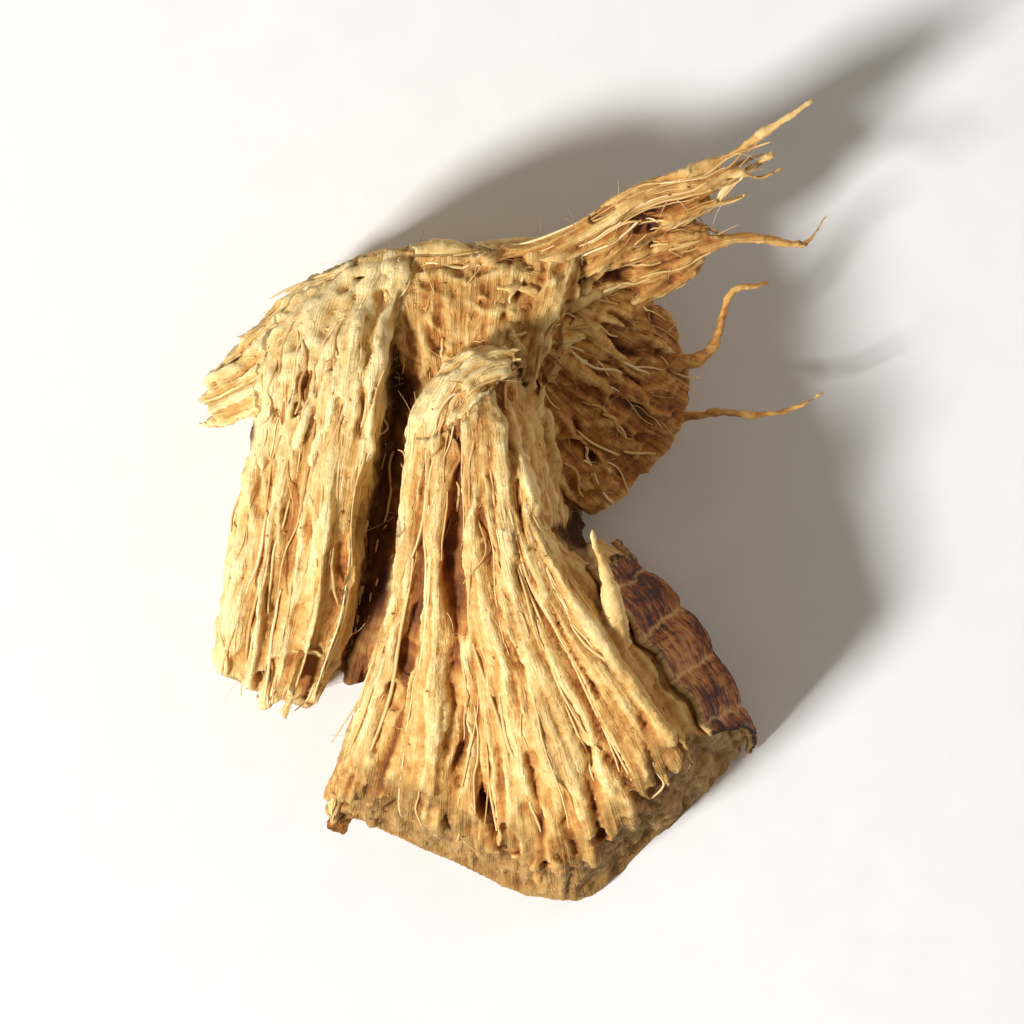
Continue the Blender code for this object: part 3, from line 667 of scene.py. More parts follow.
def fibreToneOf(points, paths):
    # the random tone of the nearest fibre, so that neighbours differ a little
    chance = random.Random(chipForm["seed"] + 1)
    tree = KDTree(sum(len(path) for path in paths))
    tones = []
    for path in paths:
        tone = chance.random()
        for point, _ in path:
            tree.insert(point, len(tones))
            tones.append(tone)
    tree.balance()
    return np.array([tones[tree.find(place)[1]] for place in points])


def edgeArray(mesh):
    ends = np.empty(len(mesh.edges) * 2, np.int32)
    mesh.edges.foreach_get("vertices", ends)
    return ends.reshape(-1, 2)


def smoothed(values, ends, rounds):
    # each value halfway to its neighbours' average, repeated
    values = values.reshape(len(values), -1).astype(float)
    size = len(values)
    count = np.bincount(ends.ravel(), minlength=size)
    for _ in range(rounds):
        for column in range(values.shape[1]):
            own = values[:, column]
            total = np.bincount(ends[:, 0], own[ends[:, 1]], size)
            total = total + np.bincount(ends[:, 1], own[ends[:, 0]], size)
            values[:, column] = 0.5 * own + 0.5 * np.where(count > 0, total / np.maximum(count, 1), own)
    return values


def normalsOf(mesh):
    mesh.update()
    normals = np.empty(len(mesh.vertices) * 3, np.float32)
    mesh.vertex_normals.foreach_get("vector", normals)
    return normals.reshape(-1, 3).astype(np.float64)


def hollowOf(points, normals, ends, rounds, scale):
    # positive in hollows and negative on crests, for hollows about as wide as the rounds reach
    return ((smoothed(points, ends, rounds) - points) * normals).sum(axis=1) / scale


def giveAttribute(mesh, name, values):
    kind = "FLOAT_VECTOR" if values.ndim > 1 else "FLOAT"
    layer = mesh.attributes.new(name, kind, "POINT")
    layer.data.foreach_set("vector" if values.ndim > 1 else "value", values.astype(np.float32).ravel())


reliefForm = {
    "streak": 0.035,       # along the fibres
    "lump": 0.105,         # crumpled flesh
    "crumb": 0.035,
    "slitWidth": (0.04, 0.10),      # half width of the gaps between fibres
    "slitDepth": (0.08, 0.24),
    "deepest": 0.4,        # depth at which a groove's painted shade is darkest
    "overTop": 0.11,       # highest that wood stands over the CAD solid
    "cutCrumb": 0.03,      # and crumbs where the knife cut
    "cutRib": 0.10,        # the cut's upright ribs and cracks, which spread from the fan's apex
    "cutCrack": 0.13,
    "apex": (-0.5, 3.2),
    "apexReach": 10.0,
}


def groovesOf(bundle):
    # the bundle's own grooves and its many short slits, which lie where the draws put them
    chance = random.Random(bundle["seed"] * 7)
    grooves = list(bundle["grooves"])
    for _ in range(bundle["slits"]):
        across, start = chance.uniform(-0.25, 1.25), chance.uniform(0.0, 0.95)
        end = start + bundle["slitLength"] * chance.uniform(0.35, 1.0)
        grooves.append((across, across + chance.uniform(-0.05, 0.05), start, end,
                        chance.uniform(*reliefForm["slitWidth"]), chance.uniform(*reliefForm["slitDepth"])))
    return grooves


def grooveDepth(bundle, across, share):
    # how deep the grooves are at each place, lens-shaped from end to end
    grid = np.linspace(0, 1, 40)
    width = np.interp(share, grid, [bundleWidth(bundle, place) for place in grid])
    depth = np.zeros(len(share))
    for first, last, start, end, halfWidth, deep in groovesOf(bundle):
        t = np.clip((share - start) / (end - start), 0, 1)
        lens = np.sqrt(np.sin(np.pi * t))
        middle = first + (last - first) * t + 0.012 * np.sin(share * 31 + deep * 90)
        gap = np.abs(across - middle) * width / (halfWidth * (0.35 + 0.65 * lens))
        depth = np.maximum(depth, deep * lens * np.exp(-np.minimum(gap, 6) ** 2))
    return depth


def fanTurn(points):
    # how far round the fan's apex each point lies, in about millimetres on the knife cuts
    across, ahead = points[:, 0] - reliefForm["apex"][0], reliefForm["apex"][1] - points[:, 1]
    return np.arctan2(across, ahead) * reliefForm["apexReach"]


def roughen(mesh, grain, bundleNames):
    # crumpled flesh, streaks along the fibres and grooves between them
    points, normals, ends = meshPoints(mesh), normalsOf(mesh), edgeArray(mesh)
    offFloor = np.clip((points[:, 2] - 0.03) / 0.15, 0, 1)      # the flat underside stays flat
    onCut = np.clip(1 + (beyondCuts(points) + 0.15) / 0.2, 0, 1)
    turned = fanTurn(points)
    depth, bundleToneAndShade, crumbly = np.zeros(len(points)), np.zeros(len(points)), np.ones(len(points))
    for number, bundleName in enumerate(bundleNames):
        bundle = bundles[bundleName]
        length = grainLength(bundle)
        own = np.abs(grain[:, 2] - number * homeStep) < homeStep / 2
        depth[own] = grooveDepth(bundle, grain[own, 1] / bundleWidth(bundle, 0.5), grain[own, 0] / length)
        bundleToneAndShade[own], crumbly[own] = bundle["bundleToneAndShade"], bundle["crumbly"]
    crumbs = reliefForm["crumb"] * smoothed(crumbly, ends, 20)[:, 0] + reliefForm["cutCrumb"] * onCut
    shove = np.empty(len(points))
    for row, (place, (along, across, home)) in enumerate(zip(points, grain)):
        here = Vector(place)
        here += 0.22 * noise.noise_vector(here * 1.7)
        streak = noise.fractal(Vector((along * 0.8, across * 6, home)), 0.7, 2.2, 3)
        lump = noise.noise(Vector((along * 1.1, across * 1.9, home + 5)))
        crumb = noise.fractal(here * 3.9, 0.8, 2.1, 3)
        shove[row] = reliefForm["streak"] * streak * (1 - onCut[row])
        shove[row] += reliefForm["lump"] * lump * (1 - 0.5 * onCut[row]) + crumbs[row] * crumb
        if onCut[row] > 0:
            rib = noise.fractal(Vector((turned[row] * 2.6, place[2] * 0.5, 4.0)), 0.8, 2.2, 3)
            crack = noise.noise(Vector((turned[row] * 1.2, place[2] * 0.3, 9.0)))
            shove[row] += reliefForm["cutRib"] * rib * onCut[row]
            cracked = reliefForm["cutCrack"] * max(1 - abs(crack) / 0.13, 0) * onCut[row]
            depth[row] = max(depth[row], cracked)
    inwards = smoothed(normals, ends, 10)
    inwards /= np.maximum(np.linalg.norm(inwards, axis=1), 0.2)[:, None]
    moved = points + normals * (shove * offFloor)[:, None]
    moved -= inwards * (smoothed(depth, ends, 1)[:, 0] * offFloor)[:, None]
    moved[:, 2] = np.minimum(moved[:, 2], cadBox[1].z / mm + reliefForm["overTop"])
    setPoints(mesh, moved)
    # for the colour: groove and crack depth, where shade is painted, and the bundles' tone shift, smoothed
    return np.clip(depth / reliefForm["deepest"], 0, 1), smoothed(bundleToneAndShade, ends, 60)[:, 0]


def cleftMap(allPoints):
    # height of the chip's top, and of the same top with every narrow cleft bridged over
    cell, half = 0.1, 8.2
    side = int(2 * half / cell)
    top = np.zeros((side, side))
    places = ((allPoints[:, :2] + half) / cell).astype(int)
    np.maximum.at(top, (places[:, 0], places[:, 1]), allPoints[:, 2])

    def spread(heights, pick):
        for _ in range(6):
            for axis in (0, 1):
                heights = pick(heights, pick(np.roll(heights, 1, axis), np.roll(heights, -1, axis)))
        return heights

    return top, spread(spread(top, np.maximum), np.minimum), cell, half


def cleftDepth(points, cleft):
    top, bridged, cell, half = cleft
    places = ((points[:, :2] + half) / cell).astype(int)
    here, over = top[places[:, 0], places[:, 1]], bridged[places[:, 0], places[:, 1]]
    return np.clip((over - here - 0.5) / 0.8, 0, 1) * np.clip((over - points[:, 2]) / 1.2, 0, 1)


def finishMesh(mesh):
    # from the rails' millimetres to the CAD solid's place in metres, smooth shaded
    mesh.transform(Matrix.Translation(chipForm["toBoxMiddle"]))
    mesh.transform(Matrix.Diagonal((mm, mm, mm, 1.0)))
    mesh.shade_smooth()
    mesh.update()


def addPiece(name, mesh, material):
    mesh.materials.clear()
    mesh.materials.append(material)
    piece = bpy.data.objects.new(name, mesh)
    bpy.context.collection.objects.link(piece)
    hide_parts("galangal_chip")
    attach(piece, "root")
    print(name, "ready:", len(mesh.polygons), "faces")


def fillInputs(tree, node, inputs):
    # each input, by name or number, is linked to a socket or set to a value
    for label, value in inputs.items():
        if isinstance(value, bpy.types.NodeSocket):
            tree.links.new(value, node.inputs[label])
        else:
            node.inputs[label].default_value = value


def addNode(tree, kind, inputs=None, **settings):
    node = tree.nodes.new(kind)
    column, row = divmod(len(tree.nodes), 6)
    node.location = (column * 220, row * -260)
    for name, value in settings.items():
        setattr(node, name, value)
    fillInputs(tree, node, inputs or {})
    return node


def newMaterial(name):
    material = bpy.data.materials.new(name)
    material.use_nodes = True
    tree = material.node_tree
    return material, tree, tree.nodes["Principled BSDF"]


def attribute(tree, name, output="Fac"):
    return addNode(tree, "ShaderNodeAttribute", attribute_name=name).outputs[output]


def objectPlace(tree):
    return addNode(tree, "ShaderNodeTexCoord").outputs["Object"]


def mathNode(tree, operation, first, second, clamp=False):
    inputs = {0: first, 1: second}
    return addNode(tree, "ShaderNodeMath", inputs, operation=operation, use_clamp=clamp).outputs[0]


def weighted(tree, parts):
    # sum of (socket, weight)
    total = None
    for socket, weight in parts:
        part = mathNode(tree, "MULTIPLY", socket, weight)
        total = part if total is None else mathNode(tree, "ADD", total, part)
    return total


def noiseNode(tree, vector, scale, detail, roughness, distortion=0.0):
    inputs = {"Vector": vector, "Scale": scale, "Detail": detail, "Roughness": roughness,
              "Distortion": distortion}
    return addNode(tree, "ShaderNodeTexNoise", inputs).outputs["Fac"]


def rampNode(tree, factor, stops):
    node = addNode(tree, "ShaderNodeValToRGB", {"Fac": factor})
    ramp = node.color_ramp
    while len(ramp.elements) < len(stops):
        ramp.elements.new(0.5)
    for element, (position, colour) in zip(ramp.elements, stops):
        element.position = position
        element.color = (*colour, 1.0)
    return node.outputs["Color"]


def mixNode(tree, factor, first, second):
    first, second = ((*side, 1.0) if isinstance(side, tuple) else side for side in (first, second))
    return addNode(tree, "ShaderNodeMix", {0: factor, 6: first, 7: second}, data_type="RGBA").outputs[2]


def bumpNode(tree, height, distance, strength):
    inputs = {"Height": height, "Distance": distance, "Strength": strength}
    return addNode(tree, "ShaderNodeBump", inputs).outputs["Normal"]


def stretched(tree, vector, scale):
    return addNode(tree, "ShaderNodeMapping", {"Vector": vector, "Scale": scale}).outputs["Vector"]


def dotsNode(tree, vector, scale, size):
    cells = addNode(tree, "ShaderNodeTexVoronoi", {"Vector": vector, "Scale": scale})
    return mathNode(tree, "LESS_THAN", cells.outputs["Distance"], size)


woodLook = {
    # the dark of the painted shade deep in clefts, also the ramp's darkest
    "cleft": (0.060, 0.015, 0.004),
    "brown": (0.22, 0.072, 0.015),
    "ochre": (0.45, 0.178, 0.036),
    "tan": (0.63, 0.345, 0.095),
    "straw": (0.79, 0.53, 0.20),
    "pale": (0.93, 0.73, 0.36),
    "rust": (0.38, 0.12, 0.035),
    "cutFace": (0.20, 0.105, 0.028),
    "cutPale": (0.42, 0.25, 0.074),
    "oilCell": (0.16, 0.045, 0.015),
    "vessel": (0.50, 0.32, 0.12),
    "brokenFacing": (-0.15, -0.97, 0.15),    # the way the left fan's broken end looks
    "brokenFrom": -2.0,
    "translucence": 0.05,
    "lightDepth": 0.0004,
    "relief": 0.00007,     # of the bump, in metres
    "darkened": 0.39,      # off the sum of all its patterns
    "dullBand": 1.3,       # millimetres of duller wood above the knife cuts
    "dulled": 0.17,
}


def woodMaterial():
    # painted highlight on crests and red-brown painted shade in clefts, streaked along the grain, duller
    # where cut
    material, tree, shader = newMaterial("driedRootWood")
    place = objectPlace(tree)
    grain = attribute(tree, "grain", "Vector")
    cut, cutGrain = attribute(tree, "cut"), attribute(tree, "cutGrain", "Vector")

    def alongBoth(scale, detail, roughness):
        # one streak noise along the fibres and down the knife cuts
        first, second = (noiseNode(tree, stretched(tree, vector, scale), 1.0, detail, roughness)
                         for vector in (grain, cutGrain))
        change = mathNode(tree, "MULTIPLY", mathNode(tree, "SUBTRACT", second, first), cut)
        return mathNode(tree, "ADD", first, change)

    streak = alongBoth((0.6, 9.0, 1.0), 6, 0.65)
    band = noiseNode(tree, stretched(tree, grain, (0.22, 1.9, 1.3)), 1.0, 4, 0.5)
    patch = noiseNode(tree, place, 420, 4, 0.6, 0.5)
    fine = noiseNode(tree, place, 6500, 5, 0.7)
    hair = alongBoth((1.3, 24.0, 1.0), 3, 0.6)
    tone = attribute(tree, "tone")
    # the hollow marks take the light down with painted shade and up with painted highlight on crests
    light = weighted(tree, [
        (streak, 0.50), (band, 0.46), (patch, 0.42), (fine, 0.16), (hair, 0.24), (tone, 0.13),
        (attribute(tree, "shadeAndTone"), -1.0),
    ])
    light = mathNode(tree, "SUBTRACT", light, woodLook["darkened"])
    colour = rampNode(tree, light, [
        (0.02, woodLook["cleft"]), (0.18, woodLook["brown"]), (0.36, woodLook["ochre"]),
        (0.53, woodLook["tan"]), (0.70, woodLook["straw"]), (0.90, woodLook["pale"]),
    ])
    rusty = mathNode(tree, "SUBTRACT", noiseNode(tree, place, 700, 3, 0.55), 0.57)
    rusty = mathNode(tree, "MULTIPLY", rusty, 4.0, True)
    rusty = mathNode(tree, "MULTIPLY", rusty, 0.35)
    colour = mixNode(tree, rusty, colour, woodLook["rust"])
    cutShare = mathNode(tree, "MULTIPLY", cut, 0.72)
    cutColour = mixNode(tree, dotsNode(tree, place, 5200, 0.22), woodLook["cutFace"],
                        woodLook["vessel"])
    mottled = weighted(tree, [(fine, 0.8), (streak, 1.2), (tone, 0.6)])
    mottled = mathNode(tree, "SUBTRACT", mottled, 0.8, True)
    colour = mixNode(tree, cutShare, colour, mixNode(tree, mottled, cutColour, woodLook["cutPale"]))
    dots = mathNode(tree, "MULTIPLY", dotsNode(tree, place, 5600, 0.16), 0.28)
    colour = mixNode(tree, dots, colour, woodLook["oilCell"])
    # painted shade deep in the narrow clefts
    cleft = mathNode(tree, "MULTIPLY", attribute(tree, "cleft"), 0.93)
    colour = mixNode(tree, cleft, colour, woodLook["cleft"])
    rough = weighted(tree, [(streak, 0.3), (fine, 0.2)])
    height = weighted(tree, [(streak, 1.0), (fine, 0.6), (hair, 0.9)])
    fillInputs(tree, shader, {
        "Base Color": colour, "Roughness": mathNode(tree, "ADD", rough, 0.5),
        "Normal": bumpNode(tree, height, woodLook["relief"], 0.9), "Specular IOR Level": 0.30,
        "Subsurface Weight": woodLook["translucence"], "Subsurface Radius": (1.0, 0.5, 0.25),
        "Subsurface Scale": woodLook["lightDepth"],
    })
    return material


woodPieces = {
    "rightFanWood": {"bundles": ["rightFan", "hook"], "voxel": 0.055, "skinSide": True},
    "leftFanWood": {"bundles": ["leftFan", "web"], "voxel": 0.055, "skinSide": False},
    "backWood": {"bundles": ["mantle", "brow", "shoulder", "ridge"], "voxel": 0.06, "skinSide": False},
    "tailWood": {"bundles": ["upperTail", "lowerTail"], "voxel": 0.05, "skinSide": False},
    "flankWood": {"bundles": ["flank"], "voxel": 0.055, "skinSide": False},
}


def makeWood(name, piece, coarse):
    chance = random.Random(chipForm["seed"] + len(name))
    paths = []
    for bundleName in piece["bundles"]:
        bundle = bundles[bundleName]
        thick = ridgePaths(bundle)
        if "coveredTo" in bundle:
            covered = int(bundle["coveredTo"] * chipForm["stepsAlong"])
            thick = [sunkStart(path[covered:]) for path in thick]
        if bundleName == "rightFan":        # its last rows end where the bark begins
            rows = bundle["sideRows"][1]
            thick = thick[:-rows] + [path[:chipForm["shortRow"]] for path in thick[-rows:]]
        paths += thick
        paths += [fineFibre(bundle, coarse, chance) for _ in range(bundle["fibres"])]
    paths += [splinterPath(splinter) for splinter in splinters.get(name, [])]
    paths = [trimmed(path, chance) for path in paths]
    if "rightFan" in piece["bundles"]:
        paths += [tornFibre(bundles["rightFan"], coarse, chance) for _ in range(tornForm["fibres"])]
    paths = [path for path in paths if len(path) > 2]
    mesh = fused(name, bundledMesh(name, piece["bundles"], paths, piece["skinSide"]), piece["voxel"])
    points, ends = meshPoints(mesh), edgeArray(mesh)
    atFoot = np.clip((0.16 - points[:, 2]) / 0.1, 0, 1)     # evens the outline where it meets the floor
    points[:, :2] += (smoothed(points[:, :2], ends, 5) - points[:, :2]) * atFoot[:, None]
    setPoints(mesh, points)
    grain = grainOf(points, piece["bundles"])
    withinBundle = grain[ends[:, 0], 2] == grain[ends[:, 1], 2]
    grain = smoothed(grain, ends[withinBundle], 2)      # not across to the next bundle's pattern
    tone = smoothed(fibreToneOf(points, paths), ends, 1)[:, 0]
    grooved, bundleToneAndShade = roughen(mesh, grain, piece["bundles"])
    return {"name": name, "mesh": mesh, "grain": grain, "tone": tone, "grooved": grooved, "bundleToneAndShade": bundleToneAndShade}


def dressWood(made, cleft, material):
    mesh = made["mesh"]
    points, normals, ends = meshPoints(mesh), normalsOf(mesh), edgeArray(mesh)
    # painted shade in hollows and grooves and painted highlight on crests, from the wood's own shape
    small = hollowOf(points, normals, ends, 6, 0.03)
    wide = hollowOf(points, normals, ends, 50, 0.16)
    broad = smoothed(normals, ends, 8)
    facing = np.max([broad @ np.array(Vector(facing).normalized()) for _, facing in knifeCuts], axis=0)
    cut = np.clip((facing - 0.5) / 0.25, 0, 1) * np.clip(1 + (beyondCuts(points) + 0.3) / 0.25, 0, 1)
    shadeAndTone = np.clip(0.12 * small + 0.20 * wide, -0.25, 0.34) + 0.22 * made["grooved"]
    nearCut = np.clip(1 + beyondCuts(points) / woodLook["dullBand"], 0, 1) ** 2
    # with the bundle's tone shift and the duller wood near the cuts added, for the wood's colour
    giveAttribute(mesh, "shadeAndTone", np.minimum(shadeAndTone, 0.42) + made["bundleToneAndShade"] + woodLook["dulled"] * nearCut)
    if made["name"] == "leftFanWood":           # its broken end, dulled like a cut
        end = broad @ np.array(Vector(woodLook["brokenFacing"]).normalized())
        broken = np.clip((end - 0.6) / 0.25, 0, 1) * np.clip(woodLook["brokenFrom"] - points[:, 1], 0, 1)
        cut = np.maximum(cut, broken)
    giveAttribute(mesh, "grain", made["grain"])
    giveAttribute(mesh, "cutGrain", np.stack([points[:, 2], fanTurn(points), np.zeros(len(points))], axis=1))
    giveAttribute(mesh, "tone", made["tone"])
    giveAttribute(mesh, "cut", cut)
    # how deep each point lies in a narrow cleft, where shade is painted
    giveAttribute(mesh, "cleft", smoothed(cleftDepth(points, cleft), ends, 4)[:, 0])
    finishMesh(mesh)
    addPiece(made["name"], mesh, material)


coarse = coarseWood()
madeWood = [makeWood(name, piece, coarse) for name, piece in woodPieces.items()]
cleft = cleftMap(np.concatenate([meshPoints(made["mesh"]) for made in madeWood]))
surfaces = {made["name"]: surfaceTree(made["mesh"]) for made in madeWood}
driedWood = woodMaterial()
for made in madeWood:
    dressWood(made, cleft, driedWood)


skinLook = {
    "relief": 0.00006,
    "darkened": 0.97,
    "dark": (0.025, 0.007, 0.003),
    "purple": (0.12, 0.030, 0.010),
    "red": (0.34, 0.100, 0.021),
    "scale": (0.54, 0.25, 0.066),
    "torn": (0.74, 0.48, 0.19),
}


def skinMaterial():
    # red-brown bark with rings, fine wrinkles, worn scales, a pale torn edge, and painted shade in its
    # hollows
    material, tree, shader = newMaterial("driedRootSkin")
    place = objectPlace(tree)
    sheet = attribute(tree, "sheet", "Vector")
    wrinkles = noiseNode(tree, stretched(tree, sheet, (0.7, 5.0, 1.0)), 1.0, 8, 0.68, 0.3)
    scars = noiseNode(tree, stretched(tree, sheet, (3.2, 0.8, 1.0)), 1.0, 5, 0.6, 0.6)
    patches = noiseNode(tree, place, 560, 5, 0.65, 0.6)
    fine = noiseNode(tree, place, 7000, 5, 0.7)
    # the hollow mark paints shade in the bark's hollows and a highlight on its crests
    light = weighted(tree, [(wrinkles, 0.7), (patches, 1.5), (fine, 0.4), (scars, 0.35),
                            (attribute(tree, "shadeAndTone"), -0.9)])
    light = mathNode(tree, "SUBTRACT", light, skinLook["darkened"])
    colour = rampNode(tree, light, [
        (0.20, skinLook["dark"]), (0.39, skinLook["purple"]), (0.55, skinLook["red"]),
        (0.74, skinLook["scale"]),
    ])
    # pale leaf scars run round it, one to each of its rings
    lengthwise = addNode(tree, "ShaderNodeSeparateXYZ", {0: sheet})
    uneven = mathNode(tree, "MULTIPLY", noiseNode(tree, sheet, 1.1, 4, 0.6), 0.5)
    ringed = mathNode(tree, "ADD", lengthwise.outputs["X"], uneven)
    ringed = mathNode(tree, "FRACT", mathNode(tree, "ADD", ringed, 0.25), 0.0)
    ringed = mathNode(tree, "ABSOLUTE", mathNode(tree, "SUBTRACT", ringed, 0.5), 0.0)
    ringed = mathNode(tree, "SUBTRACT", 1.0, mathNode(tree, "MULTIPLY", ringed, 16.0), True)
    ringed = mathNode(tree, "MULTIPLY", ringed, mathNode(tree, "MULTIPLY", fine, 1.1))
    colour = mixNode(tree, ringed, colour, skinLook["torn"])
    colour = mixNode(tree, attribute(tree, "torn"), colour, skinLook["torn"])
    rough = mathNode(tree, "ADD", mathNode(tree, "MULTIPLY", wrinkles, 0.4), 0.38)
    height = weighted(tree, [(wrinkles, 1.0), (fine, 0.6), (scars, 0.8)])
    fillInputs(tree, shader, {
        "Base Color": colour, "Roughness": rough, "Normal": bumpNode(tree, height, skinLook["relief"], 0.9),
        "Specular IOR Level": 0.35,
    })
    return material


def makeSkin():
    # a thin torn sheet on the fan's outer side: outer and inner face joined round its rim
    rows, columns = skinForm["stepsDown"], skinForm["stepsAlong"]
    outer, inner, sheet, torn, kept = [], [], [], [], []
    for column in range(columns + 1):
        for row in range(rows + 1):
            down = row / rows
            reach = 0.03 + 0.97 * column / columns
            edge = noise.fractal(Vector((reach * 9, down * 5, 0.3)), 0.8, 2.1, 4)
            lengthwise = reach * 6.0
            wrinkle = noise.fractal(Vector((lengthwise * 1.3, down * 16, 1.0)), 0.7, 2.1, 4)
            wrinkle -= 0.7 * abs(noise.noise(Vector((lengthwise * 4.2, down * 2.5, 5.0))))
            curl = clamped(1 - down / 0.12, 0, 1) ** 2 + clamped(1 - reach / 0.08, 0, 1) ** 2
            curl = skinForm["curl"] * curl
            off = skinForm["standOff"] + curl + skinForm["wrinkle"] * wrinkle
            point, within = skinPoint(reach, down, off), skinPoint(reach, down, off - skinForm["thickness"])
            tear = skinForm["tear"] * edge
            near = min(down - 0.015 - tear * 0.8, reach - 0.07 - tear * 1.5)
            kept.append(near > 0 and pastCuts(point) < -0.03 and point.z > 0.02)
            torn.append(clamped(1 - near / 0.016, 0, 1) * 0.9)
            outer.append(point)
            inner.append(within)
            sheet.append((lengthwise, down * 4.2, 0.0))
    faces, openEdges = [], {}
    size = len(outer)
    for column in range(columns):
        for row in range(rows):
            here, beside = column * (rows + 1) + row, (column + 1) * (rows + 1) + row
            corners = [here, here + 1, beside + 1, beside]
            if all(kept[corner] for corner in corners):
                faces.append(tuple(corners))
                faces.append(tuple(size + corner for corner in reversed(corners)))
                for start, end in zip(corners, corners[1:] + corners[:1]):
                    if (end, start) in openEdges:
                        del openEdges[(end, start)]
                    else:
                        openEdges[(start, end)] = True
    faces += [(end, start, size + start, size + end) for start, end in openEdges]
    mesh = bpy.data.meshes.new("rootSkin")
    mesh.from_pydata([(point.x, point.y, max(point.z, 0.0)) for point in outer + inner], [], faces)
    mesh.update()
    giveAttribute(mesh, "sheet", np.array(sheet * 2))
    giveAttribute(mesh, "torn", np.array(torn + [0.75] * size))
    # painted shade for the bark's hollows and painted highlight for its crests
    shadeAndTone = hollowOf(meshPoints(mesh), normalsOf(mesh), edgeArray(mesh), 8, 0.05)
    giveAttribute(mesh, "shadeAndTone", np.clip(shadeAndTone, -0.4, 0.4))
    tidy = bmesh.new()
    tidy.from_mesh(mesh)
    bmesh.ops.delete(tidy, geom=[corner for corner in tidy.verts if not corner.link_faces], context="VERTS")
    bmesh.ops.recalc_face_normals(tidy, faces=tidy.faces)
    tidy.to_mesh(mesh)
    tidy.free()
    finishMesh(mesh)
    addPiece("rootSkin", mesh, skinMaterial())


makeSkin()


def newTree(name, sockets):
    # an empty Geometry Nodes tree with its named inputs
    tree = bpy.data.node_groups.new(name, "GeometryNodeTree")
    tree.interface.new_socket(name="Geometry", in_out="INPUT", socket_type="NodeSocketGeometry")
    for label, kind, value in sockets:
        socket = tree.interface.new_socket(name=label, in_out="INPUT", socket_type=kind)
        if value is not None:
            socket.default_value = value
    tree.interface.new_socket(name="Geometry", in_out="OUTPUT", socket_type="NodeSocketGeometry")
    return tree, addNode(tree, "NodeGroupInput"), addNode(tree, "NodeGroupOutput")


def endTree(tree, geometry, source, result):
    # both trees end in the material that they are given
    inputs = {"Geometry": geometry, "Material": source.outputs["Material"]}
    dressed = addNode(tree, "GeometryNodeSetMaterial", inputs)
    tree.links.new(dressed.outputs[0], result.inputs["Geometry"])


def grown(name, mesh, tree, values):
    # a mesh with the tree's modifier applied, its inputs set by their sockets' identifiers
    def addTree(holder):
        modifier = holder.modifiers.new("grow", "NODES")
        modifier.node_group = tree
        identifiers = {item.name: item.identifier for item in tree.interface.items_tree
                       if item.in_out == "INPUT"}
        for label, value in values.items():
            modifier[identifiers[label]] = value

    return evaluatedMesh(name, mesh, addTree)


def shaken(tree, geometry, wobble, reach):
    # every point is moved by the noise's colour, up to half the reach each way
    centred = addNode(tree, "ShaderNodeVectorMath", {0: wobble, 1: (0.5, 0.5, 0.5)}, operation="SUBTRACT")
    sized = addNode(tree, "ShaderNodeVectorMath", {0: centred.outputs[0], "Scale": reach}, operation="SCALE")
    inputs = {"Geometry": geometry, "Offset": sized.outputs[0]}
    return addNode(tree, "GeometryNodeSetPosition", inputs).outputs[0]


def sweepTree():
    # sweeps a round section along guide lines, with a wobble and a radius from their points
    tree, source, result = newTree("sweptThreads", [
        ("Girth", "NodeSocketFloat", 1.0), ("Sides", "NodeSocketInt", 6), ("Wobble", "NodeSocketFloat", 0.04),
        ("Wobble length", "NodeSocketFloat", 0.5), ("Seed", "NodeSocketFloat", 0.0),
        ("Material", "NodeSocketMaterial", None),
    ])
    given = source.outputs
    lines = addNode(tree, "GeometryNodeMeshToCurve", {"Mesh": given["Geometry"]})
    finer = addNode(tree, "GeometryNodeSubdivideCurve", {"Curve": lines.outputs[0], "Cuts": 1})
    frequency = mathNode(tree, "DIVIDE", 1.0, given["Wobble length"])
    place = addNode(tree, "GeometryNodeInputPosition").outputs[0]
    wobble = addNode(tree, "ShaderNodeTexNoise", {"W": given["Seed"], "Vector": place, "Scale": frequency},
                     noise_dimensions="4D")
    bent = shaken(tree, finer.outputs[0], wobble.outputs["Color"], given["Wobble"])
    radius = addNode(tree, "GeometryNodeInputNamedAttribute", {"Name": "girth"}, data_type="FLOAT")
    girth = mathNode(tree, "MULTIPLY", radius.outputs[0], given["Girth"])
    circle = addNode(tree, "GeometryNodeCurvePrimitiveCircle", {"Resolution": given["Sides"], "Radius": 1.0})
    tube = addNode(tree, "GeometryNodeCurveToMesh", {
        "Curve": bent, "Profile Curve": circle.outputs["Curve"], "Scale": girth, "Fill Caps": True,
    })
    smooth = addNode(tree, "GeometryNodeSetShadeSmooth", {"Geometry": tube.outputs[0]})
    real = addNode(tree, "GeometryNodeRealizeInstances", {0: smooth.outputs[0]})
    endTree(tree, real.outputs[0], source, result)
    return tree


threadLook = {
    "relief": 0.00002,
    "darkened": 0.14,
    "shade": (0.36, 0.16, 0.04),
    "middle": (0.60, 0.36, 0.12),
    "straw": (0.78, 0.54, 0.22),
    "pale": (0.90, 0.72, 0.40),
}


def threadMaterial():
    material, tree, shader = newMaterial("driedRootThreads")
    place = objectPlace(tree)
    fine = noiseNode(tree, place, 5000, 4, 0.6)
    patch = noiseNode(tree, place, 500, 3, 0.5)
    light = weighted(tree, [(attribute(tree, "tone"), 0.55), (fine, 0.35), (patch, 0.45)])
    light = mathNode(tree, "SUBTRACT", light, threadLook["darkened"])
    colour = rampNode(tree, light, [
        (0.10, threadLook["shade"]), (0.36, threadLook["middle"]), (0.62, threadLook["straw"]),
        (0.88, threadLook["pale"]),
    ])
    fillInputs(tree, shader, {
        "Base Color": colour, "Normal": bumpNode(tree, fine, threadLook["relief"], 0.7), "Roughness": 0.62,
        "Specular IOR Level": 0.4,
    })
    return material


